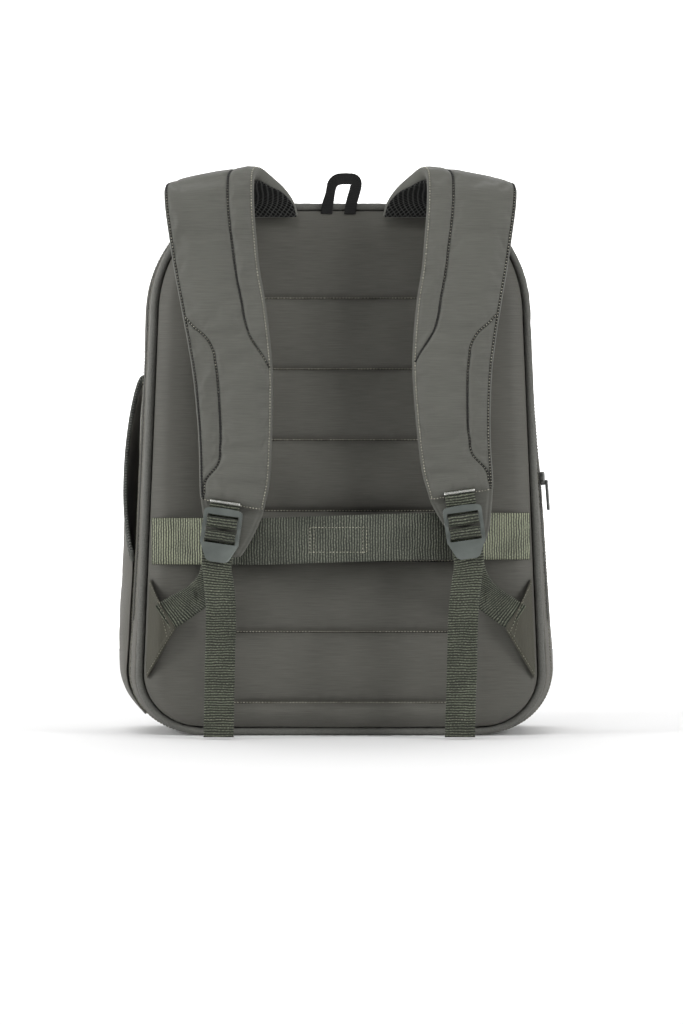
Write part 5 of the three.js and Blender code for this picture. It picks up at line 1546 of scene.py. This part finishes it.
def handle_sleeve():
    seam = half_width(panel_shape, luggage_height) - 2.5
    proud = pad_crown + luggage_reach + luggage_thickness / 2
    half = luggage_width / 2
    right = []
    for start, out in sleeve_rows:
        x = start * seam
        rest_on = max(pad_height(x, luggage_height + dz) for dz in (-half, -half / 2, 0, half / 2, half))
        right.append((x, mix(rest_on + gap + 0.4 + luggage_thickness / 2, proud, out), start))
    line = [(-x, reach, -start) for x, reach, start in right] + right[::-1]
    upright = np.array([0, 0, 1.0])
    stops = [(np.array([x, -reach, luggage_height + 2 * clamp(start / 0.42, -1, 1)]), upright)
             for x, reach, start in line]
    piece = webbing("handle_sleeve", stops, luggage_width, luggage_thickness, handle_webbing)
    dress(piece, "webbing", handle_webbing, "luggage_strap")
    box = [(box_left, box_bottom), (box_right, box_bottom), (box_right, box_top), (box_left, box_top),
           (box_left, box_bottom)]
    ends = [[(x, box_bottom), (x, box_top)] for x in (box_left + box_inner, box_right - box_inner)]
    runs = [smooth_box([(x, -proud, z) for x, z in line]) for line in (box, *ends)]
    runs = [laid_on(piece, run, (0, -1, 0), 0.25) for run in runs]
    laid_along("box_stitches", runs, stitches, "webbing", pale_thread, Spacing=0.0027)


loop_place = -2
loop_half_width = 9.5
loop_height = 25.25
loop_corner = 5.2
loop_lean = math.tan(math.radians(14))
loop_webbing_width = 9.3
loop_webbing_thickness = 1.5


def hanging_loop():
    """Webbing on edge: two legs and a round-cornered crest, leaning a little to the right."""
    wide, tall, corner = loop_half_width, loop_height, loop_corner
    back = pad_height(loop_place, seam_top - 3) + gap + 0.8
    half = [(-wide, -3, 1, 0), (-wide, 4, 1, 0), (-wide, tall - corner, 1, 0)]
    for turn in np.linspace(0.15, 0.85, 5) * math.pi / 2:
        x, z = -wide + corner * (1 - math.cos(turn)), tall - corner * (1 - math.sin(turn))
        half.append((x, z, math.cos(turn), -math.sin(turn)))
    half.append((-wide + corner, tall, 0, -1))
    path = half + [(-x, z, -across_x, across_z) for x, z, across_x, across_z in half[::-1]]
    stops = [(np.array([loop_place + x + loop_lean * max(z, 0), -back, seam_top + z]),
              np.array([across_x, 0, across_z])) for x, z, across_x, across_z in path]
    piece = webbing("hanging_loop", stops, loop_webbing_width, loop_webbing_thickness, loop_webbing,
                    spacing=0.0014, height=0.00022, step=0.3)
    dress(piece, "black_webbing", loop_webbing, "hang_loop")


handle_sleeve()
hanging_loop()

# Floor, light and camera


def paper(name, shade, glow=0.0):
    material, _, surface = shader(name, 0.9)
    surface.inputs["Base Color"].default_value = (shade, shade, shade, 1)
    surface.inputs["Emission Color"].default_value = (1, 1, 1, 1)
    surface.inputs["Emission Strength"].default_value = glow
    return material


def stage_sheet(name, points, material):
    mesh = bpy.data.meshes.new(name)
    mesh.from_pydata(points, [], [(0, 1, 2, 3)])
    mesh.materials.append(material)
    sheet = bpy.data.objects.new(name, mesh)
    bpy.context.scene.collection.objects.link(sheet)


floor_reach, far_start = 9, 1.6
wall_reach, wall_place, wall_foot, wall_top = 7, 6, -0.2, 6
pale_paper = paper("pale_paper", 0.84)
lit_paper = paper("lit_paper", 0.9, 0.92)
for name, near, far, material in (("floor", -floor_reach, far_start, pale_paper),
                                  ("far_floor", far_start, floor_reach, lit_paper)):
    corner_places = [(-floor_reach, near), (floor_reach, near), (floor_reach, far), (-floor_reach, far)]
    stage_sheet(name, [(x, y, 0) for x, y in corner_places], material)
wall_corners = [(-wall_reach, wall_foot), (wall_reach, wall_foot), (wall_reach, wall_top),
                (-wall_reach, wall_top)]
stage_sheet("backdrop", [(x, wall_place, z) for x, z in wall_corners], lit_paper)


def soft_light(name, place, aim, size, power):
    lamp = bpy.data.lights.new(name, "AREA")
    lamp.shape, lamp.size, lamp.size_y, lamp.energy = "RECTANGLE", *size, power
    light = bpy.data.objects.new(name, lamp)
    light.location = place
    light.rotation_euler = (Vector(aim) - Vector(place)).to_track_quat("-Z", "Y").to_euler()
    bpy.context.scene.collection.objects.link(light)


bag_centre = (0, 0, 0.22)
soft_light("left_box", (-2.55, -1.15, 1.0), bag_centre, (0.7, 1.7), 60)
soft_light("right_box", (2.3, -1.5, 1.0), bag_centre, (0.7, 1.7), 48)
soft_light("front_box", (-0.4, -1.7, 2.4), (0, 0, 0.25), (0.9, 0.6), 11)
soft_light("top_box", (0, 1.3, 3.0), (0, 1.3, 0), (4.4, 4.6), 84)

world = bpy.data.worlds.new("studio")
world.use_nodes = True
sky = world.node_tree.nodes["Background"]
sky.inputs["Color"].default_value = (1, 1, 1, 1)
sky.inputs["Strength"].default_value = 0.22
bpy.context.scene.world = world
bpy.context.scene.view_settings.view_transform = "Standard"

camera_place = (0.0047, -2.6558, 0.181)
camera_data = bpy.data.cameras.new("camera")
camera_data.lens = 112.9
camera_data.sensor_width = 36
camera_data.clip_end = 60
camera = bpy.data.objects.new("camera", camera_data)
camera.location = camera_place
camera.rotation_euler = (math.pi / 2, 0, 0)
bpy.context.scene.collection.objects.link(camera)
bpy.context.scene.camera = camera
